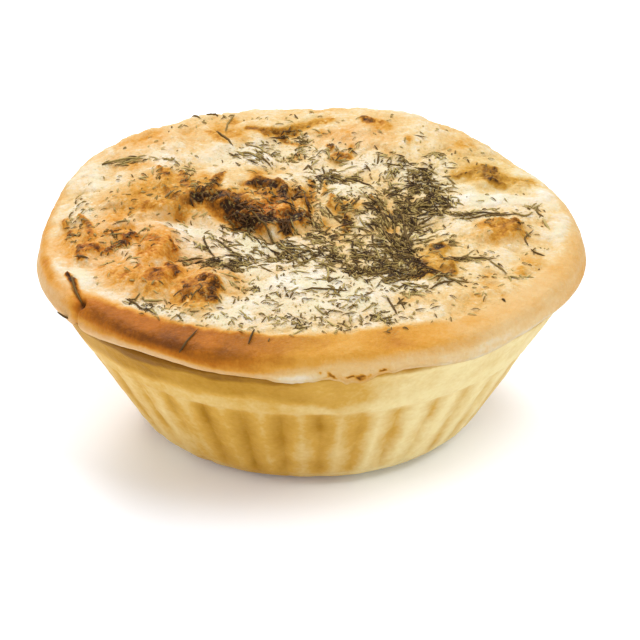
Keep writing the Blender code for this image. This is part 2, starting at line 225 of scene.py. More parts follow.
# Burnt and browned streaks: toast, from x, y, to x, y, half-width
TOAST_STREAKS = (
    # The burnt ridge
    (0.84, -16, 5, -13.6, 5.2, 0.7), (0.96, -14.4, 5.4, -12.2, 4.8, 1.3),
    (0.98, -12.2, 4.4, -10.2, 2.3, 1.5), (1, -10.2, 1.9, -8.2, 0, 1.3), (1, -8.2, -0.2, -5.6, -2.6, 1.3),
    (1, -5.6, -2.6, -3, -3.3, 1), (0.92, -3, -3, -1.2, -1, 0.9), (0.72, -12, 12.8, -12.8, 10, 0.5),
    (0.68, -12.9, 9.4, -13.3, 5.8, 0.5), (0.76, -8.4, 10, -7, 10.6, 0.7), (0.82, -7, 11, -4.6, 10.2, 1),
    (0.74, -5.8, 9.6, -5.4, 6.6, 0.5), (0.74, -4, 10.8, -2.8, 8.4, 0.4),
    (0.86, -3.4, 8.6, -3.2, 1.2, 0.5), (0.76, -1.4, 8, -1, 2.6, 0.4), (0.74, -7.8, 5.6, -6.2, 4.8, 0.35),
    (0.8, -0.2, 5, 0.2, -1.6, 0.4), (0.54, 0.5, 12.4, 0.6, 7, 0.35), (0.54, 2.4, 12.4, 2.2, 7, 0.35),
    (0.7, 3.2, 6.6, 3, 3.4, 0.35), (0.8, 5.2, 1, 5.2, -2.6, 0.5), (0.6, 8.6, 7, 9.6, 4, 0.35),
    # The left
    (0.34, -28.6, -3.2, -24, -0.4, 0.3), (0.72, -29.6, -7.2, -27, -8, 0.5),
    (0.76, -27, -8, -25.2, -6.2, 0.45), (0.82, -25.2, -6.2, -23.6, -4.2, 0.5),
    (0.76, -24.8, -4.8, -24.6, -6.4, 0.4), (0.66, -31.4, 2.8, -29.8, -0.6, 0.4),
    (0.68, -29.9, -0.6, -29.7, -4.4, 0.45), (0.66, -32.4, -1, -32.2, -4.6, 0.4),
    (0.7, -33.4, 2.6, -33.2, 0.2, 0.5), (0.78, -31, -6, -30.8, -9.8, 0.35),
    (0.7, -22.6, -14, -22.2, -15.2, 0.4), (0.8, -18.6, -12.6, -17.2, -15.8, 0.5),
    (0.78, -20.4, -15.2, -19.6, -17.4, 0.4), (0.72, -16.6, -18, -15, -20.2, 0.4),
    (0.74, -15, -20.2, -13.2, -22.6, 0.4), (0.82, -14.2, -17.6, -12.2, -19.8, 0.6),
    (0.84, -12.6, -21, -12.4, -23, 0.5), (0.6, -19, -6, -17.6, -7.8, 0.35),
    (0.98, -32, -13.4, -31.2, -15.8, 0.4), (0.9, -31.2, -15.8, -30.2, -18.4, 0.5),
    (0.66, -20.8, 12.4, -19.6, 9.6, 0.35), (0.64, -20.2, 7.6, -18.8, 5, 0.35),
    (0.66, -18.8, 5, -17, 4.4, 0.35), (0.66, -17.5, 12, -16.6, 6.6, 0.35),
    # The right
    (0.74, 26.8, 0.4, 26.4, -2.4, 0.4), (0.76, 28.3, 0.6, 28, -2.6, 0.5),
    (0.9, 17.2, -6.2, 18.4, -7.6, 0.6), (0.8, 14.6, -10.2, 15.6, -13.4, 0.6),
    (0.74, 19.4, -10.4, 19, -14.6, 0.5), (0.8, 14, -15.6, 18.4, -15.4, 0.7),
    # The back
    (0.56, -14.2, 24.4, -11.8, 21, 0.6), (0.66, -8.6, 26, -6, 24.8, 0.5),
    (0.66, -6, 24.8, -1.8, 25.6, 0.8), (0.52, -1.8, 26.2, 3.4, 28.8, 0.9),
    (0.6, -4, 24.2, -0.8, 22.4, 0.4), (0.76, 7.8, 28.6, 9, 26.6, 0.5), (0.8, 2.6, 21.6, 3.2, 20.4, 0.35),
    (0.7, 24.6, 17, 24.8, 13, 0.4), (0.72, 26.4, 17.4, 26.2, 13.6, 0.4),
    (0.62, 20.4, 13.6, 23.4, 14.4, 0.4),
)
# How orange the lid's browning is, from 0 for mustard to 1: that share, x, y, half-length, half-width
BASE_WARMTH = 0.4
WARM_SPOTS = (
    (0.85, -22, -8, 16, 15), (0.45, -19, 7.5, 7, 6), (0.65, -24, 20, 10, 9), (0.7, 6, 23, 6, 4),
    (0.2, -1, 27.5, 4.5, 2, 20), (0.3, 12, -2, 9, 15), (0.15, 17, -10, 5, 7), (0.05, 26, 15, 10, 8),
    (0.4, 26.5, -2.5, 5, 4, 30), (0.95, -5, 0.5, 3, 3),
)
# Browning of the rim: degrees from the front, how far from the edge it starts, the toast of its shoulder,
# its face and its lip, how far down the face the lip starts, how orange it is, and how much darker its
# darkest line is
RIM_TOAST = (
    (-180, 1.6, 0.16, 0.3, 0.3, 0.7, 0.5, 0), (-140, 1.6, 0.26, 0.32, 0.3, 0.7, 0.6, 0),
    (-110, 1.8, 0.36, 0.34, 0.34, 0.7, 0.6, 0), (-95, 1.8, 0.46, 0.28, 0.26, 0.7, 0.7, 0),
    (-80, 1.9, 0.54, 0.26, 0.24, 0.6, 0.7, 0), (-70, 2.1, 0.5, 0.28, 0.26, 0.6, 0.8, 0),
    (-64, 2.5, 0.36, 0.3, 0.3, 0.7, 0.85, 0), (-59, 2.8, 0.42, 0.36, 0.34, 0.75, 0.85, 0.05),
    (-56, 3.6, 0.52, 0.42, 0.3, 0.6, 0.85, 0.12), (-42, 4.8, 0.58, 0.46, 0.26, 0.56, 0.85, 0.17),
    (-28, 5.6, 0.6, 0.5, 0.26, 0.58, 0.85, 0.16), (-18, 6.2, 0.6, 0.56, 0.28, 0.64, 0.75, 0.1),
    (-10, 6.4, 0.57, 0.46, 0.26, 0.68, 0.6, 0.04), (-2, 6.5, 0.52, 0.32, 0.1, 0.54, 0.4, 0),
    (9, 7, 0.46, 0.24, 0.42, 0.64, 0.4, 0), (19, 7.2, 0.5, 0.24, 0.3, 0.68, 0.5, 0),
    (27, 6.8, 0.42, 0.23, 0.22, 0.66, 0.5, 0), (44, 5.2, 0.3, 0.21, 0.18, 0.66, 0.5, 0),
    (60, 4.8, 0.29, 0.24, 0.2, 0.7, 0.55, 0), (72, 4.2, 0.32, 0.37, 0.3, 0.7, 0.5, 0),
    (84, 3.2, 0.28, 0.36, 0.3, 0.7, 0.5, 0), (100, 2, 0.28, 0.36, 0.3, 0.7, 0.5, 0),
    (145, 1.6, 0.2, 0.32, 0.3, 0.7, 0.5, 0), (180, 1.6, 0.16, 0.3, 0.3, 0.7, 0.5, 0),
)
# Shares of the way down the rim: where the shoulder's toast gives way to the face's, the darkest line and
# half its width, how soon the lip's toast is full, and the line of burnt flakes and half its width
SHOULDER_FADE = (0.08, 0.6)
DARKEST_DOWN = 0.3
DARKEST_WIDTH = 0.26
LIP_FADE = (0.0, 0.22)
FLAKES_DOWN = 0.76
FLAKES_WIDTH = 0.07
# The burnt flakes: from and to degrees from the front, how soon they are full there, how much darker they
# are, and the noise that breaks their line
FLAKES_DEG = (1, 18)
FLAKES_END_DEG = 2
FLAKE_TOAST = 0.5
FLAKE_GAPS = (-0.2, 0.25)
# Streaks round the rim: their length in degrees, and how many lie across its face
STREAK_DEG = 9
STREAKS_ACROSS = 3.5
# Where the rim's browning fades out, in millimetres past the place where it starts
RIM_FADE = (0.7, -1.3)
# Creases pressed into the lid: depth, from x, y, to x, y, half-width
CREASES = (
    (0.5, -31.8, -14, -30, -20.5, 0.5), (0.5, -30, -20.5, -31.6, -21, 0.6),
    (0.5, -13, 5.4, -12, 13.6, 0.6), (0.5, -8.6, 9.6, -5, 10, 0.8), (0.45, -4.6, 1, -4.6, 10, 0.5),
    (0.5, -2, 0, -2.1, 9, 0.6), (0.5, 0.4, 0, 0.4, 12, 0.6), (0.5, -22.5, 0.6, -17.5, 1.8, 0.8),
    (0.45, -17.5, 1.8, -15.6, 4.4, 0.7), (0.6, -13.4, 3.2, -9.8, -0.8, 0.9),
    (0.6, -9.8, -0.8, -5, -5.4, 0.9), (0.5, -5, -5.4, -0.2, -3.2, 0.8),
    (0.4, -22.8, -5, -22.9, -11.5, 0.6), (0.4, -18, -5.5, -18.2, -12, 0.6),
    (0.4, -17.9, -16.5, -18.2, -23.5, 0.6), (0.35, -23, -17, -23.4, -20, 0.6),
    (0.4, -14, -9.5, -20, -13.5, 0.7), (0.4, 10, 10, 12, -6, 1), (0.4, -24, -1.5, -30.5, -6.5, 0.8),
    (0.4, -17.5, -9, -12, -11.5, 1), (0.4, -16, -14, -17, -22, 0.7), (0.35, 20, 9.5, 31, 9.5, 1),
    (0.3, -6, 15, 4, 17, 1),
)

# Where the dill fell: pieces on each square millimetre, the share of long ones, x, y, half-length,
# half-width, and the turn in degrees if any
DILL_HEAPS = (
    # The dense heaps on the right
    (3.4, 0.6, 16.6, 10, 2.7, 5.6), (1.2, 0.8, 17.5, 5, 2.4, 2.4), (2.4, 0.6, 2.2, 13, 1.9, 2.6),
    (1, 0.8, 6, 13, 3, 0.7, -30), (1.4, 0.6, 11.5, 8, 2.6, 3.6), (2.6, 0.6, 12.8, 0, 3.8, 7),
    (3.6, 0.5, 10, -12.8, 5.4, 3.6), (2.2, 0.6, 12.5, -7.5, 2, 4), (1.3, 0.5, 15.5, -16, 4.4, 1.4),
    (0.8, 0.4, 15, -10, 2, 2.4), (1.2, 0.7, 21.5, -9.8, 3, 1, 10), (1, 0.6, 22, 2.4, 2.4, 1, 5),
    (0.5, 0.6, 26.4, 3.6, 2.8, 0.9, 10), (0.7, 0.6, 20, -4.8, 2.4, 1.6, -30),
    (0.9, 0.4, 31.4, 4.6, 1.2, 1.8), (0.25, 0.5, 29.4, -4, 1.2, 3), (0.3, 0.3, 27, -13.5, 3, 1.4, -30),
    # Round the middle
    (2, 0.5, -10.4, -11.8, 2.8, 2.6), (0.8, 0.4, -13.6, -12, 1.6, 2.6),
    (0.9, 0.7, -9, -3.2, 2.4, 1.6, -40), (0.8, 0.7, -8, -6, 6.5, 5.5, -45), (1.3, 0.6, -1, -10, 4, 4),
    (1.1, 0.6, 4, -6, 6.5, 6.5), (0.35, 0.4, 0, 5, 7, 7), (0.15, 0.1, -5, 0, 7, 3, -40),
    (0.9, 0.2, -14, 7, 2, 2.4), (0.6, 0.5, 6, 3, 6, 5), (0.8, 0.6, -16.6, -9.8, 2.6, 0.8, -30),
    # In front
    (0.38, 0.3, 1, -22, 14, 5.5), (0.9, 0.5, 4.4, -19.2, 2.4, 1.4), (0.5, 0.25, 2, -27.5, 9, 2.4),
    (1, 0.3, -7.8, -19.4, 1.4, 1.2), (0.8, 0.3, 9.6, -26.6, 1.4, 1.2), (1, 0.3, -0.8, -28.4, 1.4, 1.2),
    (0.7, 0.4, 15, -18.6, 4, 1.6, 10), (0.3, 0.1, -15, -25.5, 8, 2, -25),
    (0.9, 0.2, -22.8, -21, 1.2, 1.4), (1, 0.4, -21, -23.4, 1.6, 1.6, -45),
    # On the left
    (0.4, 0.1, -32, 1, 1.6, 9), (0.3, 0.1, -27, -5, 5, 5), (0.22, 0.1, -20, 7, 7, 5),
    # At the back
    (1.2, 0.8, -25.5, 15.4, 3.4, 0.7, 5), (0.7, 0.4, -20, 15.2, 1.4, 0.7), (0.8, 0.3, -17.2, 13.4, 1, 1),
    (1, 0.6, -8.4, 17.6, 3.4, 1, -35), (0.5, 0.3, -3, 20, 6, 3), (0.5, 0.3, -3, 24, 3, 2.4),
    (0.5, 0.2, 5, 19, 2, 2.6), (0.6, 0.5, 12, 16, 7, 4), (0.6, 0.2, 18, 18.4, 1.2, 1.6),
    (0.5, 0.4, -15, 30, 3, 2, 10),
)
DILL_EVERYWHERE = 0.05
LONG_EVERYWHERE = 0.1
DILL_REACH = 33.0
DILL_SEED = 7
# Dill lies only where the lid is this far above the cup's top
DILL_ABOVE = 2
# What the dill's density is multiplied by, from between its clumps to in them
CLUMP_RANGE = (0.1, 3)
# Which way the dill lies: its heading and how far it strays from it in degrees, x, y, half-length,
# half-width, and the turn in degrees if any. Elsewhere it lies every way.
EVERY_WAY_DEG = 90
DILL_LIES = (
    (-52, 28, -7, -5.5, 9, 6, -40), (-72, 35, 11.5, 1, 4, 7), (6, 32, 24.5, 2.6, 5, 2.4, 5),
    (6, 20, -25.5, 15.4, 4.5, 2.4), (-35, 25, -8, 18, 4.5, 3, -35), (-8, 25, -16.5, -10, 3.5, 1.8, -10),
    (20, 40, 15.5, -16.5, 6, 3, 15), (8, 30, 21.5, -9.8, 4, 2),
)
# Kinds of dill, long and short: their lengths, as shares of the longest or in millimetres, the number of
# needles in each, the short ones' share of the width, rings of points on a needle, and the seed
LONG_SHARES = (0.5, 0.7, 0.9, 1.0, 0.6, 0.8)
LONG_BRANCHES = (1, 1, 1, 1, 2)
SHORT_LENGTHS = (0.7, 1.0, 1.4, 1.8)
SHORT_BRANCHES = (1,)
SHORT_WIDTH = 0.9
LONG_RINGS = 4
SHORT_RINGS = 2
LONG_SEED = 31
SHORT_SEED = 32
# How they are strewn: the piece and the lid's attribute that says how densely, how many lie there for each
# that it asks for, their smallest and largest scale, their lean in radians, and the seed
STREWN = (
    ("dill_needles", "dill_long", 1.3, 0.6, 1.1, 0.14, DILL_SEED),
    ("dill_flecks", "dill_short", 3.0, 0.6, 1.1, 0.25, DILL_SEED + 1),
)
# The numbers that pick their kinds are drawn up to this, and counted round the kinds
LAST_PICK = 60
# A needle: corners round it, how flat and how blunt it is, how far it sinks in, its widths, its bends in
# radians, and how high it arches
NEEDLE_CORNERS = 4
NEEDLE_FLATNESS = 0.7
NEEDLE_TAPER = 0.5
NEEDLE_SUNK = 0.03
NEEDLE_WIDTHS = (0.8, 1.2)
NEEDLE_BENDS = (-0.9, 0.9)
NEEDLE_ARCHES = (0.1, 0.3)
# Its branches: their share of its length, how far they spread in radians, and how far each rises
BRANCH_SHARES = (0.7, 1.0)
BRANCH_SPREAD = (0.35, 0.8)
BRANCH_RISE = 0.1
# A strand: points along it, corners round it, how blunt it is, its widths and tints, how far it lies above
# the lid, how far from there its points stray, the lid's dill where it lies, which darkens it as painted
# shade, the lid's toast there, and a height well above the lid
STRAND_POINTS = 9
STRAND_CORNERS = 5
STRAND_TAPER = 0.4
STRAND_WIDTHS = (0.8, 1.15)
STRAND_TINTS = (0.0, 0.75)
STRAND_LIFT = 0.1
STRAND_STRAY = 0.08
STRAND_CROWD_SHADE = 1.0
STRAND_TOAST = 0.3
ABOVE_LID = 60
# Single long strands of dill: the x and y of the points they pass, with z for one on the rim's face
DILL_STRANDS = (
    ((3.6, 13), (6.4, 12.6), (9.2, 10.2)), ((7.4, 8.4), (9.4, 4.6), (11, -0.5)),
    ((11, 5), (11.8, 0), (11.2, -4.6)), ((13, 3), (13.2, -2), (14, -6)),
    ((10, 1), (10.6, -3.4), (12.4, -7.6)), ((15, 2), (14, -2), (12.6, -6.6)),
    ((19.6, 2), (23, 2.8), (27.4, 2.6)), ((21, 1.2), (25, 2), (29.4, 3.2)),
    ((27.8, 3.4), (29.6, 2.6), (31, 3.6)), ((31.8, 6.4), (31.4, 4.2), (32.4, 2.6)),
    ((30.8, -1), (29.4, -3), (29.8, -5.6)), ((30, -6), (30.8, -7), (32, -7.4)),
    ((24, -10.2), (25.4, -11.8), (26.6, -13.6)), ((19, -9.4), (21.6, -9.8), (24.6, -9.2)),
    ((-29.2, 15.2), (-26, 16), (-22.8, 15.8)), ((-20.6, 15.6), (-19.4, 14.8), (-18.6, 15.4)),
    ((-17.2, 32), (-16.4, 30.4), (-15.4, 28.8)), ((-14.8, 31), (-13.8, 31.4), (-12.8, 30.6)),
    ((-10.6, 31.6), (-11.4, 28), (-11.8, 25)), ((-13.2, 24.4), (-12, 22.8), (-10.6, 20.2)),
    ((-10, 18.8), (-8.4, 18.8), (-6, 16.6)), ((-7.6, 20.8), (-6.6, 18), (-5.2, 15.8)),
    ((-14.2, -2), (-14, -5.4), (-12.4, -9.4)), ((-10.8, 0.6), (-8, -3), (-6.2, -7)),
    ((-9, 1), (-5.8, -3.4), (-3.6, -7.4)), ((-12.2, -4.6), (-10.4, -7.6), (-8.6, -9.8)),
    ((-5.2, -4), (-3.2, -7.6), (0.6, -9.8)), ((-17.4, -10.6), (-15.2, -10.4), (-12.8, -11.2)),
    ((-1, -19.6), (2, -19.4), (5.6, -20)), ((10.2, -21), (11, -23.4), (11.6, -25.6)),
    ((-24.2, -20.6), (-22.8, -21.8), (-21.6, -24)), ((-21.8, -21.4), (-20.6, -21.8), (-19, -21.6)),
    ((-21.2, -23.6), (-20.4, -24.6), (-19.8, -25.2)), ((-31.6, -13.6), (-31, -16.6), (-29.8, -19.8)),
    ((-7, -29.6), (-7.4, -31.4), (-7.8, -33.2)), ((17, -15.4), (19.4, -16.8), (21.6, -16.2)),
    ((15.8, -19), (17.6, -17.6), (19.4, -17)), ((25.4, -20.6), (25.7, -20.8), (25.9, -21.3)),
    ((-16.4, -33.7, 26.7), (-16.5, -33.6, 26), (-16.8, -33.4, 25.1)),
)
# A strand that hangs out from under the rim
LOOSE_STRAND = ((-31, -19.6, 23.7), (-32.1, -19.6, 23.8), (-33.4, -19, 24.4))

# What is uneven: how much, in millimetres, degrees or toast, the size of its dents or patches in
# millimetres, octaves of noise and seed
UNEVEN = {
    # The lid's shape
    "lip": (0.4, 1.5, 2, 19),
    "puffs": (0.42, 6, 2, 6),
    "crinkle": (0.75, 2.4, 4, 7),
    "folds": (1, 8, 2, 8),
    "skin": (0.07, 0.9, 2, 9),
    "creases across": (0.5, 3, 2, 15),
    "creases deep": (0.5, 3, 2, 16),
    # The lid's browning
    "toast": (0.08, 9, 2, 3),
    "toast across": (0.4, 2.4, 3, 1),
    "toast deep": (0.4, 2.4, 3, 2),
    "rim edge": (0.5, 2.6, 3, 5),
    "rim turn": (2, 5, 2, 4),
    "rim streaks": (0.07, 1, 3, 4),
    "lip edge": (0.05, 4, 2, 14),
    "fray": (0.16, 3, 2, 24),
    "fine fray": (0.1, 0.8, 2, 25),
    "fray width": (0.05, 1.4, 2, 26),
    "flakes": (1, 1.2, 2, 18),
    # The cup
    "dents": (0.16, 6, 2, 11),
    "fine dents": (0.08, 1.8, 3, 12),
    "filled grooves": (0.4, 7, 2, 17),
    "flute turn": (1.5, 5, 2, 14),
    "cup level": (0.6, 5, 2, 15),
    "groove streaks": (0.5, 3, 3, 16),
    "groove shades": (0.2, 5, 2, 22),
    "cup patches": (0.06, 8, 2, 13),
    # The dill
    "clumps": (1.4, 2.5, 2, 21),
}


class PieSizes(bpy.types.PropertyGroup):
    lid_radius: FloatProperty(
        name="Lid radius", description="From the middle to the lid's edge",
        default=37.5 * MM, subtype="DISTANCE")
    rim_height: FloatProperty(
        name="Rim height", description="Height of the lid's rolled rim",
        default=4.4 * MM, subtype="DISTANCE")
    flute_depth: FloatProperty(
        name="Flute depth", description="How deep the tin pressed its flutes",
        default=0.9 * MM, subtype="DISTANCE")
    flute_count: IntProperty(name="Flutes", description="Number of flutes round the cup", default=36)
    needle_length: FloatProperty(
        name="Dill length", description="Length of a long piece of dill",
        default=3.4 * MM, subtype="DISTANCE")
    needle_width: FloatProperty(
        name="Dill width", description="Width of a piece of dill",
        default=0.3 * MM, subtype="DISTANCE")


def linear(hex_colour):
    """An sRGB colour such as F0E0C0 as linear red, green and blue."""
    shares = [int(hex_colour[k:k + 2], 16) / 255 for k in (0, 2, 4)]
    return [s / 12.92 if s <= 0.04045 else ((s + 0.055) / 1.055) ** 2.4 for s in shares]


def colour_property(name, description, hex_colour):
    return FloatVectorProperty(
        name=name, description=description, default=linear(hex_colour), subtype="COLOR", min=0, max=1)


class PieColours(bpy.types.PropertyGroup):
    dough: colour_property("Dough", "Pale dough that the oven hardly coloured", "D9D3C4")
    butter: colour_property("Butter", "Pale dough where the fat it was brushed with gathered", "CEC29C")
    peach: colour_property("Peach", "Lightly baked lid where it browned orange", "D0AA7C")
    straw: colour_property("Straw", "Lightly baked lid where it browned yellow", "D0B67E")
    gold: colour_property("Gold", "Golden blisters", "CC8A34")
    amber: colour_property("Amber", "Orange-brown tops of the blisters", "AA5C0C")
    brown: colour_property("Brown", "Well browned spots", "6A360E")
    burnt: colour_property("Burnt", "Burnt ridges", "321E10")
    mustard: colour_property("Mustard", "Golden blisters at the back and on the right", "BC8C34")
    # On the cup, ochre also colours the painted shade at its top and under the lid's lip
    ochre: colour_property("Ochre", "Browned spots at the back and on the right", "7E520E")
    cup_pale: colour_property("Cup, pale", "Crests of the flutes and the ledge", "E8D49A")
    cup_gold: colour_property("Cup, golden", "Flank of the cup", "C99B43")
    cup_ochre: colour_property("Cup, ochre", "Grooves between the flutes", "A8781C")
    dill_dark: colour_property("Dill, dark", "Darkest pieces of dried dill", "3E2A12")
    dill_olive: colour_property("Dill, olive", "Most of the dried dill", "6E5426")
    dill_grey: colour_property("Dill, grey", "Faded pieces of dried dill", "A0884C")
    dill_straw: colour_property("Dill, straw", "Bleached pieces of dried dill", "B09C60")
    dill_brown: colour_property("Dill, brown", "Pieces that the oven browned", "3E2812")
    dill_rust: colour_property("Dill, rust", "Palest pieces that the oven browned", "644526")
    floor: colour_property("Floor", "White sweep", "F6F9FF")
    tent: colour_property("Light tent", "White cloth round the pie, a little cool", "F2F8FF")


# Noise and soft shapes


def waves(turn, table):
    return sum(size * np.cos(number * turn - math.radians(phase)) for number, size, phase in table)


def smooth_step(low, high, value):
    share = np.clip((value - low) / (high - low), 0, 1)
    return share * share * (3 - 2 * share)


def soft_hill(along, aside=0.0):
    """A hill 1 high with a broad top, that has almost ended at a distance of 1.5."""
    return np.exp(-np.hypot(along, aside) ** SOFT_EDGE_POWER)


def spot_hill(x, y, centre_x, centre_y, length, width, degrees=0):
    """A soft hill over an ellipse: its centre, half-length, half-width and turn."""
    cos, sin = math.cos(math.radians(degrees)), math.sin(math.radians(degrees))
    across, deep = x - centre_x, y - centre_y
    return soft_hill((across * cos + deep * sin) / length, (deep * cos - across * sin) / width)


def streak_hill(x, y, start_x, start_y, end_x, end_y, width):
    """A soft hill along a line, with its half-width."""
    run_x, run_y = end_x - start_x, end_y - start_y
    share = np.clip(((x - start_x) * run_x + (y - start_y) * run_y) / (run_x ** 2 + run_y ** 2), 0, 1)
    return soft_hill((x - start_x - share * run_x) / width, (y - start_y - share * run_y) / width)


# How far apart the noise of two seeds lies, how fast its octaves fade, and how much finer each is
SEED_STEP = (1, 2.3, -1.7)
FADE = 1.0
LACUNARITY = 2.0


def uneven(points, kind):
    """How far each point is off for one kind of unevenness, by fractal noise."""
    amount, size, octaves, seed = UNEVEN[kind]
    shift = Vector([step * seed for step in SEED_STEP])
    scaled = (np.asarray(points) / size).tolist()
    return amount * np.array([noise.fractal(Vector(p) + shift, FADE, LACUNARITY, octaves) for p in scaled])


def smooth_path(points, count):
    """A curve through the points, with count points on it."""
    points = np.array(points, float)
    ends = np.vstack([2 * points[0] - points[1], points, 2 * points[-1] - points[-2]])
    places = np.linspace(0, len(points) - 1, count)
    k = np.minimum(places.astype(int), len(points) - 2)
    t = (places - k)[:, None]
    a, b, c, d = ends[k], ends[k + 1], ends[k + 2], ends[k + 3]
    return 0.5 * (
        2 * b + (c - a) * t + (2 * a - 5 * b + 4 * c - d) * t ** 2 + (3 * (b - c) + d - a) * t ** 3)


def spot(turn, radius):
    """The x and y of a point at an angle from the front, counted towards +X."""
    return radius * np.sin(turn), -radius * np.cos(turn)


# Meshes


def make_mesh(name, points, faces):
    """A mesh with smooth faces, from points in millimetres."""
    mesh = bpy.data.meshes.new(name)
    mesh.from_pydata((np.asarray(points) * MM).tolist(), [], faces)
    mesh.validate()
    mesh.shade_smooth()
    return mesh


def make_object(name, mesh, material):
    mesh.materials.clear()
    mesh.materials.append(material)
    obj = bpy.data.objects.new(name, mesh)
    bpy.context.scene.collection.objects.link(obj)
    return obj


def positions(mesh):
    """The mesh's points in millimetres."""
    flat = np.empty(len(mesh.vertices) * 3, np.float32)
    mesh.vertices.foreach_get("co", flat)
    return flat.reshape(-1, 3).astype(float) / MM


def move_points(mesh, points):
    mesh.vertices.foreach_set("co", (points * MM).astype(np.float32).ravel())
    mesh.update()


def normals(mesh):
    flat = np.empty(len(mesh.vertices) * 3, np.float32)
    mesh.vertices.foreach_get("normal", flat)
    return flat.reshape(-1, 3).astype(float)


def store(mesh, name, values):
    layer = mesh.attributes.new(name, "FLOAT", "POINT")
    layer.data.foreach_set("value", np.asarray(values, np.float32))


def add_node(tree, kind, inputs=None, stops=(), **settings):
    """Adds a node. Settings are its own attributes, inputs are values or the sockets linked to them, and
    stops are the places and colours of its ramp."""
    node = tree.nodes.new(kind)
    for name, value in settings.items():
        setattr(node, name, value)
    for key, value in (inputs or {}).items():
        if isinstance(value, bpy.types.NodeSocket):
            tree.links.new(value, node.inputs[key])
        else:
            node.inputs[key].default_value = value
    for place, colour in stops[2:]:
        node.color_ramp.elements.new(place)
    for element, (place, colour) in zip(node.color_ramp.elements if stops else (), stops):
        element.position = place
        element.color = (*colour, 1.0)
    return node


def new_geometry_tree(name, sockets):
    """A geometry tree with one geometry output and named inputs: name, socket type."""
    tree = bpy.data.node_groups.new(name, "GeometryNodeTree")
    tree.interface.new_socket("Geometry", in_out="OUTPUT", socket_type="NodeSocketGeometry")
    identifiers = {}
    for label, kind in sockets:
        identifiers[label] = tree.interface.new_socket(label, in_out="INPUT", socket_type=kind).identifier
    return tree, identifiers


def run_tree(name, mesh, tree, identifiers, values):
    """The plain mesh that a geometry tree makes of a mesh."""
    carrier = bpy.data.objects.new(name, mesh)
    bpy.context.scene.collection.objects.link(carrier)
    modifier = carrier.modifiers.new(name, "NODES")
    modifier.node_group = tree
    for label, value in values.items():
        modifier[identifiers[label]] = value
    bpy.context.view_layer.update()
    made = bpy.data.meshes.new_from_object(carrier.evaluated_get(bpy.context.evaluated_depsgraph_get()))
    bpy.data.objects.remove(carrier, do_unlink=True)
    made.name = name
    return made


# Materials


ATTRIBUTE = "ShaderNodeAttribute"
MATH = "ShaderNodeMath"
RAMP = "ShaderNodeValToRGB"
# Sockets of the Mix node that hold its colours
COLOUR_A = 6
COLOUR_B = 7
MIXED = 2
# Sizes in millimetres: the lid's freckles, flakes, patches of butter and dust of dill, the cup's specks and
# the dill's, and the coarse and the fine crumb of the lid and the cup with their depth
FRECKLES = (1.2, 0.5)
FLAKES = 1.1
BUTTER_PATCHES = 3.4
DILL_DUST = 0.42
CUP_SPECKS = (2.6, 0.6)
DILL_SPECKS = 0.7
LID_CRUMB = (0.8, 0.25, 0.4)
CUP_CRUMB = (1.1, 0.3, 0.2)
# How much of a crumbly surface is its fine crumb
FINE_CRUMB = 0.4
# How much more dust of dill there is for each piece on a square millimetre
DUST_OF_PIECE = 0.08
# Places in the noise that keep two patterns of one surface apart
FINE_PLACE = 3.0
COARSE_CRUMB_PLACE = 5.0
FLAKES_PLACE = 9.0
DUST_PLACE = 12.0
BUTTER_PLACE = 21.0


def new_material(name):
    material = bpy.data.materials.new(name)
    material.use_nodes = True
    return material, material.node_tree, material.node_tree.nodes["Principled BSDF"]


def grain(tree, size_mm, detail=3.0, offset=0.0):
    """Noise in object space, with features of that size."""
    place = add_node(tree, "ShaderNodeTexCoord").outputs["Object"]
    moved = add_node(tree, "ShaderNodeMapping", {"Vector": place, "Location": (offset, offset, 0)})
    settings = {"Vector": moved.outputs["Vector"], "Scale": 1 / (size_mm * MM), "Detail": detail}
    return add_node(tree, "ShaderNodeTexNoise", settings).outputs["Fac"]


def speckled(tree, level, size_mm, amount, offset=0.0):
    """The level, raised and lowered in spots of that size by up to half the amount."""
    spots = add_node(tree, MATH, {0: grain(tree, size_mm, offset=offset), 1: 0.5}, operation="SUBTRACT")
    settings = {0: spots.outputs[0], 1: amount, 2: level}
    return add_node(tree, MATH, settings, operation="MULTIPLY_ADD").outputs[0]


def crumb_normal(tree, coarse_mm, fine_mm, depth_mm):
    """The shading normal of a crumbly surface with two sizes of grain."""
    coarse = grain(tree, coarse_mm, 4.0, COARSE_CRUMB_PLACE)
    settings = {0: grain(tree, fine_mm), 1: FINE_CRUMB, 2: coarse}
    crumb = add_node(tree, MATH, settings, operation="MULTIPLY_ADD").outputs[0]
    settings = {"Height": crumb, "Strength": 0.6, "Distance": depth_mm * MM}
    return add_node(tree, "ShaderNodeBump", settings).outputs["Normal"]


def soft_crumb(shader):
    """Matt baked dough that light enters a little."""
    for name, value in (
            ("Roughness", 0.55), ("IOR", 1.45), ("Specular IOR Level", 0.08), ("Subsurface Weight", 0.1),
            ("Subsurface Radius", (1.0, 0.5, 0.2)), ("Subsurface Scale", 0.9 * MM)):
        shader.inputs[name].default_value = value


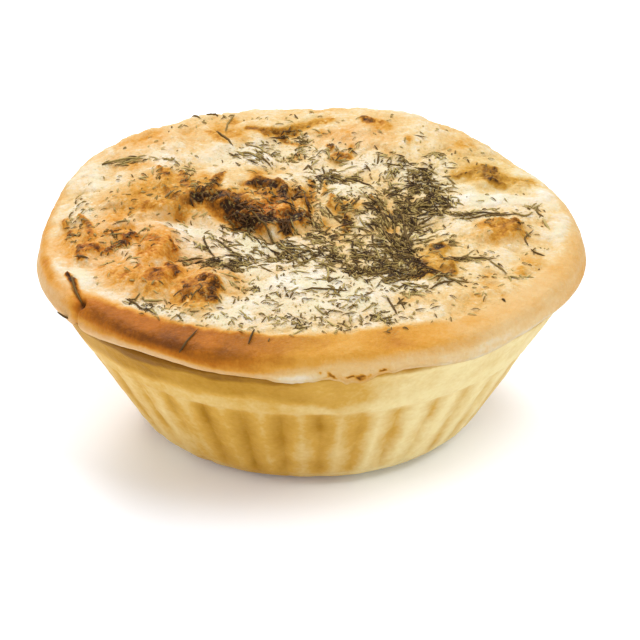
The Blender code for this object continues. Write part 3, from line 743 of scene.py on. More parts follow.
def browned_lid_material(colours):
    """Puffed pastry, brushed with fat and oven browned: matt and floury where pale, crinkled and
    freckled where the blisters took colour, with paler flakes, a dust of dill, and painted shade in its
    hollows and painted light on its bumps."""
    material, tree, shader = new_material("pastry_lid_oven_browned")
    toast, freckles, warm, strewn = [
        add_node(tree, ATTRIBUTE, attribute_name=name).outputs["Fac"]
        for name in ("toast", "freckles", "warm", "dill")]
    coarse, fine = FRECKLES
    level = speckled(tree, speckled(tree, toast, coarse, freckles), fine, freckles, FINE_PLACE)
    flakes = add_node(tree, "ShaderNodeMapRange", {
        "Value": grain(tree, FLAKES, 4.0, FLAKES_PLACE), "From Min": 0.6, "From Max": 0.66, "To Min": 0.0,
        "To Max": -0.3})
    settings = {0: flakes.outputs[0], 1: freckles, 2: level}
    level = add_node(tree, MATH, settings, operation="MULTIPLY_ADD").outputs[0]
    orange = add_node(tree, RAMP, {"Fac": level}, (
        (0.0, colours.dough), (0.24, colours.peach), (0.46, colours.gold), (0.62, colours.amber),
        (0.79, colours.brown), (0.95, colours.burnt)))
    mustard = add_node(tree, RAMP, {"Fac": level}, (
        (0.0, colours.dough), (0.24, colours.straw), (0.5, colours.mustard), (0.78, colours.ochre),
        (0.96, colours.burnt)))
    pale = add_node(tree, "ShaderNodeMapRange", {
        "Value": level, "From Max": 0.26, "To Min": 1.0, "To Max": 0.0})
    butter = add_node(tree, "ShaderNodeMapRange", {
        "Value": grain(tree, BUTTER_PATCHES, 2.0, BUTTER_PLACE), "From Min": 0.44, "From Max": 0.62,
        "To Max": pale.outputs[0]})
    settings = {0: strewn, 1: DUST_OF_PIECE, 2: grain(tree, DILL_DUST, 1.0, DUST_PLACE)}
    dusty = add_node(tree, MATH, settings, operation="MULTIPLY_ADD")
    strength = add_node(tree, "ShaderNodeMapRange", {"Value": strewn, "From Max": 0.1, "To Max": 0.6})
    dust = add_node(tree, "ShaderNodeMapRange", {
        "Value": dusty.outputs[0], "From Min": 0.58, "From Max": 0.74, "To Max": strength.outputs[0]})
    paint = mustard.outputs["Color"]
    for share, over in (
            (warm, orange.outputs["Color"]), (butter.outputs[0], (*colours.butter, 1.0)),
            (dust.outputs[0], (*colours.dill_grey, 1.0))):
        settings = {"Factor": share, COLOUR_A: paint, COLOUR_B: over}
        paint = add_node(tree, "ShaderNodeMix", settings, data_type="RGBA").outputs[MIXED]
    tree.links.new(paint, shader.inputs["Base Color"])
    soft_crumb(shader)
    tree.links.new(crumb_normal(tree, *LID_CRUMB), shader.inputs["Normal"])
    return material


def cup_material(colours):
    """Shortcrust baked in a fluted tin: dry and close-grained, yellow, darker where it met the metal, and
    with painted shade at its top and under the lid's lip.
    """
    material, tree, shader = new_material("shortcrust_tin_baked")
    toast = add_node(tree, ATTRIBUTE, attribute_name="toast").outputs["Fac"]
    coarse, fine = CUP_SPECKS
    level = speckled(tree, speckled(tree, toast, coarse, 0.26), fine, 0.18, FINE_PLACE)
    # Its darkest stop also colours the painted shade at the cup's top and under the lid's lip
    paint = add_node(tree, RAMP, {"Fac": level}, (
        (0.0, colours.cup_pale), (0.36, colours.cup_gold), (0.66, colours.cup_ochre),
        (0.95, colours.ochre)))
    tree.links.new(paint.outputs["Color"], shader.inputs["Base Color"])
    soft_crumb(shader)
    tree.links.new(crumb_normal(tree, *CUP_CRUMB), shader.inputs["Normal"])
    return material


def dill_material(colours):
    """Dried, cut dill: matt and brittle, from near black through olive to faded grey-green, and rust
    brown where it lay on the blisters that browned, and darker where its pieces lie thick, as painted
    shade."""
    material, tree, shader = new_material("dill_dried_cut")
    tint, strewn, toast = [
        add_node(tree, ATTRIBUTE, attribute_name=name).outputs["Fac"] for name in ("tint", "dill", "toast")]
    # Painted shade: pieces are tinted darker where they lie thick and lighter where they are sparse
    crowd_shade = add_node(tree, "ShaderNodeMapRange", {
        "Value": strewn, "From Max": 2.2, "To Min": 0.3, "To Max": -0.2})
    settings = {0: speckled(tree, tint, DILL_SPECKS, 0.3), 1: crowd_shade.outputs[0]}
    tint = add_node(tree, MATH, settings, operation="ADD").outputs[0]
    fresh = add_node(tree, RAMP, {"Fac": tint}, (
        (0.0, colours.dill_dark), (0.4, colours.dill_olive), (0.8, colours.dill_grey),
        (1.0, colours.dill_straw)))
    rusty = add_node(tree, RAMP, {"Fac": tint}, (
        (0.0, colours.dill_dark), (0.4, colours.dill_brown), (1.0, colours.dill_rust)))
    scorched = add_node(tree, "ShaderNodeMapRange", {"Value": toast, "From Min": 0.45, "From Max": 0.75})
    paint = add_node(tree, "ShaderNodeMix", {
        "Factor": scorched.outputs[0], COLOUR_A: fresh.outputs["Color"], COLOUR_B: rusty.outputs["Color"]},
        data_type="RGBA")
    tree.links.new(paint.outputs[MIXED], shader.inputs["Base Color"])
    shader.inputs["Roughness"].default_value = 0.8
    shader.inputs["Specular IOR Level"].default_value = 0.2
    return material


# Lid


def lid_outline(turn, sizes):
    return sizes.lid_radius / MM + waves(turn, OUTLINE_WAVES)


def hills_round_rim(turn, table):
    """Hills along the rim: degrees from the front, half-width in degrees, height."""
    total = 0.0
    for degrees, half_width, height in table:
        off = (np.degrees(turn) - degrees + 180) % 360 - 180
        total = total + height * soft_hill(off / half_width)
    return total


def lid_top(x, y, sizes):
    """Height of the lid's upper face above the cup's top."""
    turn = np.arctan2(x, -y)
    reach = np.hypot(x, y) / (lid_outline(turn, sizes) - SHOULDER_WIDTH)
    swell = hills_round_rim(turn, RIM_SWELLS) * smooth_step(*SWELLS_RISE, reach)
    base = sizes.rim_height / MM + BACK_TILT * y + swell
    dome = DOME_HEIGHT * np.maximum(0.0, 1 - reach * reach)
    blisters = sum(height * spot_hill(x, y, *place) for height, *place in LID_BLISTERS)
    (pace_x, phase_x), (pace_y, phase_y) = RIPPLES
    ripple = RIPPLE_HEIGHT * np.sin(pace_x * x + phase_x) * np.cos(pace_y * y + phase_y)
    fade = 1 - (1 - BLISTERS_ON_RIM) * smooth_step(*BLISTERS_FADE, reach)
    return base + dome + (blisters + ripple) * fade


def disc_grid(cells):
    """A square grid bent into a disc of radius 1: radius and turn of its points, and its edge in order."""
    side = np.linspace(-1, 1, cells + 1)
    across, deep = np.meshgrid(side, side, indexing="ij")
    wide = np.abs(across) > np.abs(deep)
    safe_across = np.where(across == 0, 1, across)
    safe_deep = np.where(deep == 0, 1, deep)
    angle = np.where(wide, math.pi / 4 * deep / safe_across, math.pi / 2 - math.pi / 4 * across / safe_deep)
    radius = np.where(wide, across, deep)
    x, y = radius * np.cos(angle), radius * np.sin(angle)
    index = np.arange((cells + 1) ** 2).reshape(cells + 1, cells + 1)
    edge = np.concatenate([index[:-1, 0], index[-1, :-1], index[:0:-1, -1], index[0, :0:-1]])
    faces = np.stack([index[:-1, :-1], index[1:, :-1], index[1:, 1:], index[:-1, 1:]], -1).reshape(-1, 4)
    return np.hypot(x, y).ravel(), np.arctan2(x, -y).ravel(), edge, faces


TOP_CELLS = 232
RIM_ROWS = 26
# Stands for a point's share of the way down the rim where it is under the lid
UNDERSIDE = 2.0
# Rings of its underside, as shares of the outline's radius
UNDERSIDE_RINGS = (0.6, 0.2)


def lid_shell(sizes):
    """The lid's points, faces, and each point's share of the way down the rim's face."""
    radius, turn, edge, faces = disc_grid(TOP_CELLS)
    x, y = spot(turn, radius * (lid_outline(turn, sizes) - SHOULDER_WIDTH))
    layers = [np.stack([x, y, CUP_HEIGHT + lid_top(x, y, sizes)], 1)]
    down = [np.zeros(len(x))]
    turn = turn[edge]
    outline = lid_outline(turn, sizes)
    shoulder = outline - SHOULDER_WIDTH
    top = CUP_HEIGHT + lid_top(*spot(turn, shoulder), sizes)
    underside = CUP_HEIGHT + SEAM_GAP
    ragged = 1 + uneven(np.stack([*spot(turn, outline), 0 * outline], 1), "lip")
    lip = underside + waves(turn, LIP_WAVES) - ragged * hills_round_rim(turn, LIP_DROOPS)
    for out_share, down_share in smooth_path(RIM_SECTION, RIM_ROWS + 1)[1:]:
        x, y = spot(turn, shoulder + out_share * SHOULDER_WIDTH)
        layers.append(np.stack([x, y, top + down_share * (lip - top)], 1))
        down.append(np.full(len(edge), down_share))
    for ring_radius in (outline - LIP_INSET, *[share * outline for share in UNDERSIDE_RINGS]):
        x, y = spot(turn, ring_radius)
        layers.append(np.stack([x, y, np.full(len(edge), underside)], 1))
        down.append(np.full(len(edge), UNDERSIDE))
    layers.append(np.array([[0, 0, underside]]))
    down.append(np.full(1, UNDERSIDE))
    points = np.concatenate(layers)
    rows, start = [edge], len(layers[0])
    for _ in layers[1:-1]:
        rows.append(np.arange(start, start + len(edge)))
        start += len(edge)
    all_faces = faces.tolist()
    for upper, lower in zip(rows, rows[1:]):
        all_faces += np.stack([upper, lower, np.roll(lower, -1), np.roll(upper, -1)], 1).tolist()
    hub = np.full(len(edge), len(points) - 1)
    all_faces += np.stack([rows[-1], hub, np.roll(rows[-1], -1)], 1).tolist()
    return points, all_faces, np.concatenate(down)


def read_table(turn_degrees, table):
    """The values of a table whose rows start with degrees, at each angle."""
    columns = list(zip(*table))
    return [np.interp(turn_degrees, columns[0], column) for column in columns[1:]]


def rim_toast(points, down):
    """The rim's browning at each point, how far from the edge it starts there, and how orange it is."""
    turn = np.degrees(np.arctan2(points[:, 0], -points[:, 1])) + uneven(points, "rim turn")
    start, shoulder, face, lip, lip_start, warmth, darker = read_table(turn, RIM_TOAST)
    dark_line = darker * soft_hill((down - DARKEST_DOWN) / DARKEST_WIDTH)
    toast = shoulder + smooth_step(*SHOULDER_FADE, down) * (face - shoulder) + dark_line
    on_lip = smooth_step(*LIP_FADE, down + uneven(points, "lip edge") - lip_start)
    toast = toast + on_lip * (lip - toast)
    fray = uneven(points, "fray") + uneven(points, "fine fray")
    frayed = soft_hill((down - FLAKES_DOWN - fray) / (FLAKES_WIDTH + uneven(points, "fray width")))
    first, last = FLAKES_DEG
    along = smooth_step(first, first + FLAKES_END_DEG, turn)
    along = along * smooth_step(last, last - FLAKES_END_DEG, turn)
    flakes = frayed * along * smooth_step(*FLAKE_GAPS, uneven(points, "flakes")) * (down < UNDERSIDE)
    streaks = uneven(np.stack([turn / STREAK_DEG, STREAKS_ACROSS * down, 0 * down], 1), "rim streaks")
    return toast + streaks + FLAKE_TOAST * flakes, start, warmth


def paint_spots(value, x, y, spots):
    """The value at each point once the spots are painted over it in their order."""
    for amount, *place in spots:
        value = value + spot_hill(x, y, *place) * (amount - value)
    return value


def paint_toast(points, down, outline):
    """How far each point of the lid browned, from 0 for pale dough to 1 for burnt, how orange it is, and
    whether the rim's browning reaches it."""
    x = points[:, 0] + uneven(points, "toast across")
    y = points[:, 1] + uneven(points, "toast deep")
    toast = paint_spots(BASE_TOAST + uneven(points, "toast"), x, y, TOAST_SPOTS)
    for amount, *line in TOAST_STREAKS:
        toast = toast + streak_hill(x, y, *line) * (amount - toast)
    rim, start, rim_warmth = rim_toast(points, down)
    inset = outline - np.hypot(points[:, 0], points[:, 1]) + uneven(points, "rim edge")
    on_rim = smooth_step(*RIM_FADE, inset - start)
    warmth = paint_spots(np.full(len(points), BASE_WARMTH), x, y, WARM_SPOTS)
    return toast + on_rim * (rim - toast), warmth + on_rim * (rim_warmth - warmth), on_rim


def lid_relief(points, toast, on_rim, down):
    """Puffs, crinkles and small bubbles in the lid's skin, in millimetres along its normals."""
    crinkle = (PALE_CRINKLE + toast) * uneven(points, "crinkle")
    folds = -FOLD_DEPTH * np.maximum(0, 1 - FOLD_SHARPNESS * np.abs(uneven(points, "folds"))) ** 2
    skin = uneven(points, "puffs") + crinkle + folds + uneven(points, "skin")
    x = points[:, 0] + uneven(points, "creases across")
    y = points[:, 1] + uneven(points, "creases deep")
    creases = sum(depth * streak_hill(x, y, *line) for depth, *line in CREASES)
    inset = SKIN_INSET + BACK_INSET * smooth_step(*BACK_Y, points[:, 1])
    return (skin * (1 - (1 - RIM_RELIEF) * on_rim) - creases - inset) * (down < UNDERSIDE)


def make_lid(sizes, material):
    points, faces, down = lid_shell(sizes)
    mesh = make_mesh("lid_crust", points, faces)
    outline = lid_outline(np.arctan2(points[:, 0], -points[:, 1]), sizes)
    toast, warmth, on_rim = paint_toast(points, down, outline)
    relief = lid_relief(points, toast, on_rim, down)
    raised = BLISTER_RISE * smooth_step(*BLISTER_TOAST, toast) * smooth_step(*BLISTERS_END_Y, points[:, 1])
    points = points + normals(mesh) * (relief + raised * (1 - on_rim))[:, None]
    move_points(mesh, points)
    dill, long_dill = dill_density(points)
    heading, stray = dill_lie(points)
    for name, values in (
            # The stored toast holds painted shade in the hollows and painted light on the bumps
            ("toast", np.clip(toast - RELIEF_PAINTED_SHADE * relief, 0, 1)),
            ("freckles", (PALE_FRECKLES + TOAST_FRECKLES * toast) * (1 - on_rim) + RIM_FRECKLES * on_rim),
            ("warm", warmth), ("dill", dill), ("dill_long", long_dill), ("dill_short", dill - long_dill),
            ("heading", np.radians(heading)), ("stray", np.radians(stray))):
        store(mesh, name, values)
    return make_object("lid_crust", mesh, material)


# Cup


def wedge_profile(count):
    """Heights, crest radii and flute shares down the cup's side, about evenly spaced."""
    table = np.array(CUP_PROFILE)
    length = np.concatenate([[0], np.cumsum(np.hypot(np.diff(table[:, 0]), np.diff(table[:, 1])))])
    places = np.linspace(0, length[-1], count)
    return [np.interp(places, length, table[:, column]) for column in range(3)]


WEDGE_COLUMNS = 20
WEDGE_ROWS = 84
# How narrow the grooves are beside the crests
CREST_POWER = 2.6
# Rings on the cup's flat top, as shares of its radius
TOP_RINGS = (0.9, 0.5)


def flute_wedge(sizes):
    """One flute of the cup from groove to groove, with its share of the foot and of the flat top."""
    shares = np.linspace(0, 1, WEDGE_COLUMNS + 1)
    turn = math.radians(FLUTE_PHASE_DEG) + math.tau * shares / sizes.flute_count
    off_crest = sizes.flute_depth / MM * np.abs(2 * shares - 1) ** CREST_POWER
    rows = [np.zeros((1, 3))]
    for height, radius, depth_share in zip(*wedge_profile(WEDGE_ROWS)):
        x, y = spot(turn, radius - depth_share * off_crest)
        rows.append(np.stack([x, y, np.full(len(x), height)], 1))
    for share in TOP_RINGS:
        rows.append(rows[WEDGE_ROWS] * [share, share, 1.0])
    rows.append(np.array([[0, 0, CUP_HEIGHT]]))
    points = np.concatenate(rows)
    width = WEDGE_COLUMNS + 1
    last = 1 + (len(rows) - 3) * width
    faces = [(0, k + 2, k + 1) for k in range(WEDGE_COLUMNS)]
    faces += [(low + k, low + k + 1, low + width + k + 1, low + width + k)
              for low in range(1, last, width) for k in range(WEDGE_COLUMNS)]
    faces += [(last + k, last + k + 1, len(points) - 1) for k in range(WEDGE_COLUMNS)]
    return make_mesh("flute_wedge", points, faces)


def flute_tree():
    """Turns one flute round the pie as often as it is asked to, and welds the copies together."""
    tree, identifiers = new_geometry_tree("flutes_round_a_cup", (
        ("Flute", "NodeSocketGeometry"), ("Count", "NodeSocketInt"), ("Weld", "NodeSocketFloat"),
        ("Material", "NodeSocketMaterial")))
    inputs = add_node(tree, "NodeGroupInput").outputs
    spots = add_node(tree, "GeometryNodePoints", {"Count": inputs["Count"]})
    step = add_node(tree, MATH, {0: math.tau, 1: inputs["Count"]}, operation="DIVIDE")
    index = add_node(tree, "GeometryNodeInputIndex")
    angle = add_node(tree, MATH, {0: index.outputs[0], 1: step.outputs[0]}, operation="MULTIPLY")
    turn = add_node(tree, "FunctionNodeAxisAngleToRotation", {"Axis": (0, 0, 1), "Angle": angle.outputs[0]})
    copies = add_node(tree, "GeometryNodeInstanceOnPoints", {
        "Points": spots.outputs[0], "Instance": inputs["Flute"], "Rotation": turn.outputs[0]})
    real = add_node(tree, "GeometryNodeRealizeInstances", {"Geometry": copies.outputs[0]})
    welded = add_node(tree, "GeometryNodeMergeByDistance", {
        "Geometry": real.outputs[0], "Distance": inputs["Weld"]})
    painted = add_node(tree, "GeometryNodeSetMaterial", {
        "Geometry": welded.outputs[0], "Material": inputs["Material"]})
    add_node(tree, "NodeGroupOutput", {"Geometry": painted.outputs[0]})
    return tree, identifiers


WELD_DISTANCE = 0.002
# The cup's side is what lies outside this radius, and outside this share of its crests' radius
TOP_RADIUS = 16
SIDE_SHARE = 0.93
# Heights where the band's swell is full and starts to end, and between which the side is dented
BAND_FULL = 19.0
BAND_ENDS = 21.5
DENTS_FROM = 1.2
DENTS_TO = 22.4
# How much of the grooves' depth is filled, and the least and the most
GROOVE_FILLED = 0.6
GROOVE_FILLED_RANGE = (0.1, 0.8)


def cup_toast_and_shade(points, turn, height, groove):
    """How far each point of the cup browned, from 0 for pale to 1 for brown, with painted shade at its top
    and under the lid's lip.
    """
    degrees = np.degrees(turn) + uneven(points, "flute turn")
    crest, hollow, ledge, band, band_foot = read_table(degrees, CUP_TOAST)
    level = height + uneven(points, "cup level")
    streaks = uneven(points * [1, 1, STREAK_STRETCH], "groove streaks") - GROOVE_PALE
    in_groove = groove ** GROOVE_EDGE_POWER * (smooth_step(*GROOVE_FOOT, level) + streaks)
    hollow = hollow + uneven(points * [1, 1, 0], "groove shades")
    toast = crest + np.clip(in_groove, 0, 1) * (hollow - crest)
    toast = toast + LEDGE_SHARE * smooth_step(*LEDGE_EDGE, level) * (ledge - toast)
    # On the left and in front the band's toast is partly painted shade under the rim
    toast = toast + smooth_step(*BAND_FADE, level - band_foot) * (band - toast)
    # Painted shade at the cup's top, where it meets the lid
    toast = toast + TOP_SHADE * smooth_step(*CUP_TOP, height) * (1 - toast)
    foot_full, foot_none = FOOT_DARK_DEG
    toast = toast + FOOT_DARKENING * smooth_step(*FOOT_EDGE, level) * smooth_step(foot_none, foot_full, degrees)
    # Painted shadow on the band right under the lid's lip
    seam_start, seam_full, seam_fade, seam_end = SEAM_SHADOW_DEG
    seam = smooth_step(seam_start, seam_full, degrees) * smooth_step(seam_end, seam_fade, degrees)
    toast = toast + SEAM_SHADOW * seam * smooth_step(*UNDER_LIP, level)
    return toast + uneven(points, "cup patches")


def make_cup(sizes, material):
    tree, identifiers = flute_tree()
    mesh = run_tree("cup_crust", flute_wedge(sizes), tree, identifiers, {
        "Count": sizes.flute_count, "Weld": WELD_DISTANCE * MM, "Material": material})
    points = positions(mesh)
    height, radius = points[:, 2], np.hypot(points[:, 0], points[:, 1])
    turn = np.arctan2(points[:, 0], -points[:, 1])
    crest = np.interp(height, [row[0] for row in CUP_PROFILE], [row[1] for row in CUP_PROFILE])
    side = (radius > TOP_RADIUS) & (radius > SIDE_SHARE * crest)
    groove = np.clip((crest - radius) / (sizes.flute_depth / MM), 0, 1) * side
    swell = BAND_SWELL * smooth_step(FLUTE_TOP, BAND_FULL, height) * np.sin(turn) ** 2
    swell = swell * smooth_step(CUP_HEIGHT, BAND_ENDS, height)
    dents = uneven(points, "dents") + uneven(points, "fine dents")
    filled = np.clip(GROOVE_FILLED + uneven(points, "filled grooves"), *GROOVE_FILLED_RANGE)
    kept = smooth_step(0.0, DENTS_FROM, height) * smooth_step(CUP_HEIGHT, DENTS_TO, height)
    out = (swell + (dents + groove * filled) * kept) * side
    points[:, 0] += out * np.sin(turn)
    points[:, 1] -= out * np.cos(turn)
    move_points(mesh, points)
    store(mesh, "toast", np.clip(cup_toast_and_shade(points, turn, height, groove), 0, 1))
    return make_object("cup_crust", mesh, material)


# Dill


def tube_faces(rings, corners):
    """Faces of a tube pointed at both ends, whose points are its first tip, its rings and its last tip."""
    faces, last = [], 1 + (rings - 1) * corners
    for k in range(corners):
        ahead = (k + 1) % corners
        faces += [(0, 1 + ahead, 1 + k), (last + corners, last + k, last + ahead)]
        faces += [(low + k, low + ahead, low + corners + ahead, low + corners + k)
                  for low in range(1, last, corners)]
    return faces


def needle_points(length, width, bend, arch, rings):
    """A bent needle of dill pointed at both ends, lying along X."""
    points = []
    heading, place = -bend / 2, Vector((-length / 2, 0.0, 0.0))
    step = length / (rings + 1)
    spine = [place.copy()]
    for _ in range(rings + 1):
        place = place + step * Vector((math.cos(heading), math.sin(heading), 0.0))
        heading += bend / (rings + 1)
        spine.append(place.copy())
    for k, centre in enumerate(spine):
        share = k / (rings + 1)
        centre.z = arch * math.sin(math.pi * share) - NEEDLE_SUNK
        if k in (0, rings + 1):
            points.append(tuple(centre))
            continue
        along = (spine[k + 1] - spine[k - 1]).normalized()
        aside = Vector((-along.y, along.x, 0.0))
        half = width / 2 * math.sin(math.pi * share) ** NEEDLE_TAPER
        for corner in range(NEEDLE_CORNERS):
            angle = math.tau * corner / NEEDLE_CORNERS
            up = Vector((0, 0, NEEDLE_FLATNESS * half * math.sin(angle)))
            points.append(tuple(centre + aside * half * math.cos(angle) + up))
    return points


def sprig(draw, length, width, branches, rings):
    """One piece of dill, of one or more needles that leave the same point: its points and faces."""
    points, faces = [], []
    for branch in range(branches):
        part_length = length * (draw.uniform(*BRANCH_SHARES) if branch else 1.0)
        bend, arch = draw.uniform(*NEEDLE_BENDS), draw.uniform(*NEEDLE_ARCHES)
        part = needle_points(part_length, width, bend, arch, rings)
        heading = draw.uniform(*BRANCH_SPREAD) * (-1) ** branch if branch else 0.0
        cos, sin = math.cos(heading), math.sin(heading)
        faces += [tuple(len(points) + k for k in face) for face in tube_faces(rings, NEEDLE_CORNERS)]
        for x, y, z in part:
            x += part_length / 2
            points.append((x * cos - y * sin - length / 2, x * sin + y * cos, z + BRANCH_RISE * branch))
    return points, faces


def dill_kinds(name, lengths, width, branches, rings, seed):
    """A collection of pieces of dill, to be strewn at random."""
    draw = random.Random(seed)
    kinds = bpy.data.collections.new(name)
    for k, length in enumerate(lengths):
        piece_width = width * draw.uniform(*NEEDLE_WIDTHS)
        piece = sprig(draw, length, piece_width, branches[k % len(branches)], rings)
        kinds.objects.link(bpy.data.objects.new(f"{name}_{k}", make_mesh(f"{name}_{k}", *piece)))
    return kinds


def strewing_tree():
    """Strews dill over the lid as densely as one of its attributes says, turned as the dill lies there."""
    tree, identifiers = new_geometry_tree("dill_strewn_on_lid", (
        ("Lid", "NodeSocketGeometry"), ("Kinds", "NodeSocketCollection"), ("Density", "NodeSocketString"),
        ("Share", "NodeSocketFloat"), ("Smallest", "NodeSocketFloat"), ("Largest", "NodeSocketFloat"),
        ("Tilt", "NodeSocketFloat"), ("Seed", "NodeSocketInt"), ("Material", "NodeSocketMaterial")))
    inputs = add_node(tree, "NodeGroupInput").outputs
    heaps, heading, stray = [
        add_node(tree, "GeometryNodeInputNamedAttribute", {"Name": name}, data_type="FLOAT").outputs[0]
        for name in (inputs["Density"], "heading", "stray")]
    share = add_node(tree, MATH, {0: inputs["Share"], 1: 1 / MM ** 2}, operation="MULTIPLY")
    density = add_node(tree, MATH, {0: heaps, 1: share.outputs[0]}, operation="MULTIPLY")
    spots = add_node(tree, "GeometryNodeDistributePointsOnFaces", {
        "Mesh": inputs["Lid"], "Density": density.outputs[0], "Seed": inputs["Seed"]})
    tilt_back = add_node(tree, MATH, {0: inputs["Tilt"], 1: -1.0}, operation="MULTIPLY").outputs[0]
    # Each piece's own turn, lean, scale and tint, drawn from the least to the most with a seed
    turn, lean, scale, tint = [
        add_node(tree, "FunctionNodeRandomValue", {2: least, 3: most, 8: seed},
                 data_type="FLOAT").outputs[1]
        for least, most, seed in (
            (-1.0, 1.0, 1), (tilt_back, inputs["Tilt"], 2), (inputs["Smallest"], inputs["Largest"], 4),
            (0.0, 1.0, 5))]
    pick = add_node(tree, "FunctionNodeRandomValue", {4: 0, 5: LAST_PICK, 8: 3}, data_type="INT")
    angle = add_node(tree, MATH, {0: stray, 1: turn, 2: heading}, operation="MULTIPLY_ADD")
    spin = add_node(tree, "FunctionNodeAxisAngleToRotation", {"Axis": (0, 0, 1), "Angle": angle.outputs[0]})
    spun = add_node(tree, "FunctionNodeAlignRotationToVector", {
        "Rotation": spin.outputs[0], "Vector": spots.outputs["Normal"]}, axis="Z")
    leaning = add_node(tree, "FunctionNodeAxisAngleToRotation", {"Axis": (0, 1, 0), "Angle": lean})
    leant = add_node(tree, "FunctionNodeRotateRotation", {
        "Rotation": spun.outputs[0], "Rotate By": leaning.outputs[0]}, rotation_space="LOCAL")
    pieces = add_node(tree, "GeometryNodeCollectionInfo", {
        "Collection": inputs["Kinds"], "Separate Children": True, "Reset Children": True})
    strewn = add_node(tree, "GeometryNodeInstanceOnPoints", {
        "Points": spots.outputs["Points"], "Instance": pieces.outputs[0], "Pick Instance": True,
        "Instance Index": pick.outputs[2], "Rotation": leant.outputs[0], "Scale": scale})
    tinted = add_node(tree, "GeometryNodeStoreNamedAttribute", {
        "Geometry": strewn.outputs[0], "Name": "tint", "Value": tint}, data_type="FLOAT", domain="INSTANCE")
    real = add_node(tree, "GeometryNodeRealizeInstances", {"Geometry": tinted.outputs[0]})
    painted = add_node(tree, "GeometryNodeSetMaterial", {
        "Geometry": real.outputs[0], "Material": inputs["Material"]})
    add_node(tree, "NodeGroupOutput", {"Geometry": painted.outputs[0]})
    return tree, identifiers


def dill_density(points):
    """Pieces of dill on each square millimetre at each point of the lid, and how many of them are long."""
    x, y = points[:, 0], points[:, 1]
    hills = [(pieces * spot_hill(x, y, *place), share) for pieces, share, *place in DILL_HEAPS]
    density = DILL_EVERYWHERE + sum(hill for hill, _ in hills)
    long = LONG_EVERYWHERE * DILL_EVERYWHERE + sum(hill * share for hill, share in hills)
    clumps = np.clip(1 + uneven(points, "clumps"), *CLUMP_RANGE)
    on_top = (np.hypot(x, y) < DILL_REACH) & (points[:, 2] > CUP_HEIGHT + DILL_ABOVE)
    return density * clumps * on_top, long * clumps * on_top


def dill_lie(points):
    """The heading of the dill at each point, and how far it strays from it, in degrees."""
    x, y = points[:, 0], points[:, 1]
    headings = [(heading, *place) for heading, _, *place in DILL_LIES]
    strays = [(stray, *place) for _, stray, *place in DILL_LIES]
    return paint_spots(0 * x, x, y, headings), paint_spots(0 * x + EVERY_WAY_DEG, x, y, strays)


def strand_points(spine, width):
    """A strand pointed at both ends, along the points of its spine."""
    points = [tuple(spine[0])]
    for k in range(1, len(spine) - 1):
        along = (spine[k + 1] - spine[k - 1]).normalized()
        aside = Vector((-along.y, along.x, 0.0)).normalized()
        below = aside.cross(along)
        half = width / 2 * math.sin(math.pi * k / (len(spine) - 1)) ** STRAND_TAPER
        for corner in range(STRAND_CORNERS):
            angle = math.tau * corner / STRAND_CORNERS
            points.append(tuple(spine[k] + half * (aside * math.cos(angle) + below * math.sin(angle))))
    return points + [tuple(spine[-1])]


def lay_strands(lid, width, material):
    """The single strands, each lying on the lid with its ends a little raised."""
    draw = random.Random(DILL_SEED)
    bpy.context.view_layer.update()
    spines = [[Vector(place) for place in smooth_path(LOOSE_STRAND, STRAND_POINTS)]]
    for path in DILL_STRANDS:
        spine = []
        for x, y, *z in smooth_path(path, STRAND_POINTS):
            start, way = ((2 * x, 2 * y, *z), (-x, -y, 0)) if z else ((x, y, ABOVE_LID), (0, 0, -1))
            hit, place, normal, _ = lid.ray_cast(Vector(start) * MM, Vector(way))
            if not hit:
                raise RuntimeError("a strand of dill misses the lid")
            spine.append(place / MM + normal * (STRAND_LIFT + STRAND_STRAY * draw.random()))
        spines.append(spine)
    points, faces, tints = [], [], []
    # A strand's corners run the other way round from a needle's, and so do its faces
    tube = tube_faces(STRAND_POINTS - 2, STRAND_CORNERS)
    strand_faces = [(first, *reversed(others)) for first, *others in tube]
    for spine in spines:
        strand = strand_points(spine, width * draw.uniform(*STRAND_WIDTHS))
        faces += [tuple(len(points) + k for k in face) for face in strand_faces]
        points += strand
        tints += [draw.uniform(*STRAND_TINTS)] * len(strand)
    mesh = make_mesh("dill_strands", points, faces)
    store(mesh, "tint", tints)
    store(mesh, "dill", [STRAND_CROWD_SHADE] * len(points))
    store(mesh, "toast", [STRAND_TOAST] * len(points))
    return make_object("dill_strands", mesh, material)


def strew_dill(sizes, material):
    lid = bpy.data.objects["lid_crust"]
    width = sizes.needle_width / MM
    lengths = [sizes.needle_length / MM * share for share in LONG_SHARES]
    tree, identifiers = strewing_tree()
    made = [lay_strands(lid, width, material)]
    both_kinds = (
        dill_kinds("needle", lengths, width, LONG_BRANCHES, LONG_RINGS, LONG_SEED),
        dill_kinds("fleck", SHORT_LENGTHS, width * SHORT_WIDTH, SHORT_BRANCHES, SHORT_RINGS, SHORT_SEED))
    for kinds, (name, density, share, smallest, largest, tilt, seed) in zip(both_kinds, STREWN):
        mesh = run_tree(name, lid.data, tree, identifiers, {
            "Kinds": kinds, "Density": density, "Share": share, "Smallest": smallest, "Largest": largest,
            "Tilt": tilt, "Seed": seed, "Material": material})
        for obj in list(kinds.objects):
            bpy.data.objects.remove(obj)
        bpy.data.collections.remove(kinds)
        made.append(make_object(name, mesh, material))
    return made


# Stage


CAMERA_DISTANCE = 500.0
CAMERA_ELEVATION = math.radians(24.65)
FRAME_PIXELS = 640
PIXELS_PER_MM = 7.285
RIM_CENTRE = Vector((0.0, 0.0, 23.3))
RIM_CENTRE_PIXEL = (308.6, 258.6)
SENSOR_WIDTH = 36.0
FLOOR_GLOW = 0.08
FLOOR_HALF = 3000
TENT_STRENGTH = 0.54
# Soft boxes: name, place and size in millimetres, power in watts
LIGHT_AIM = Vector((0, 0, 15))
LIGHTS = (
    ("back_left", (-200, 540, 560), 340, 4.8), ("key", (370, -260, 730), 460, 4.65),
    ("left_fill", (-560, -220, 240), 340, 1.05), ("front_fill", (160, -640, 300), 400, 0.3),
)


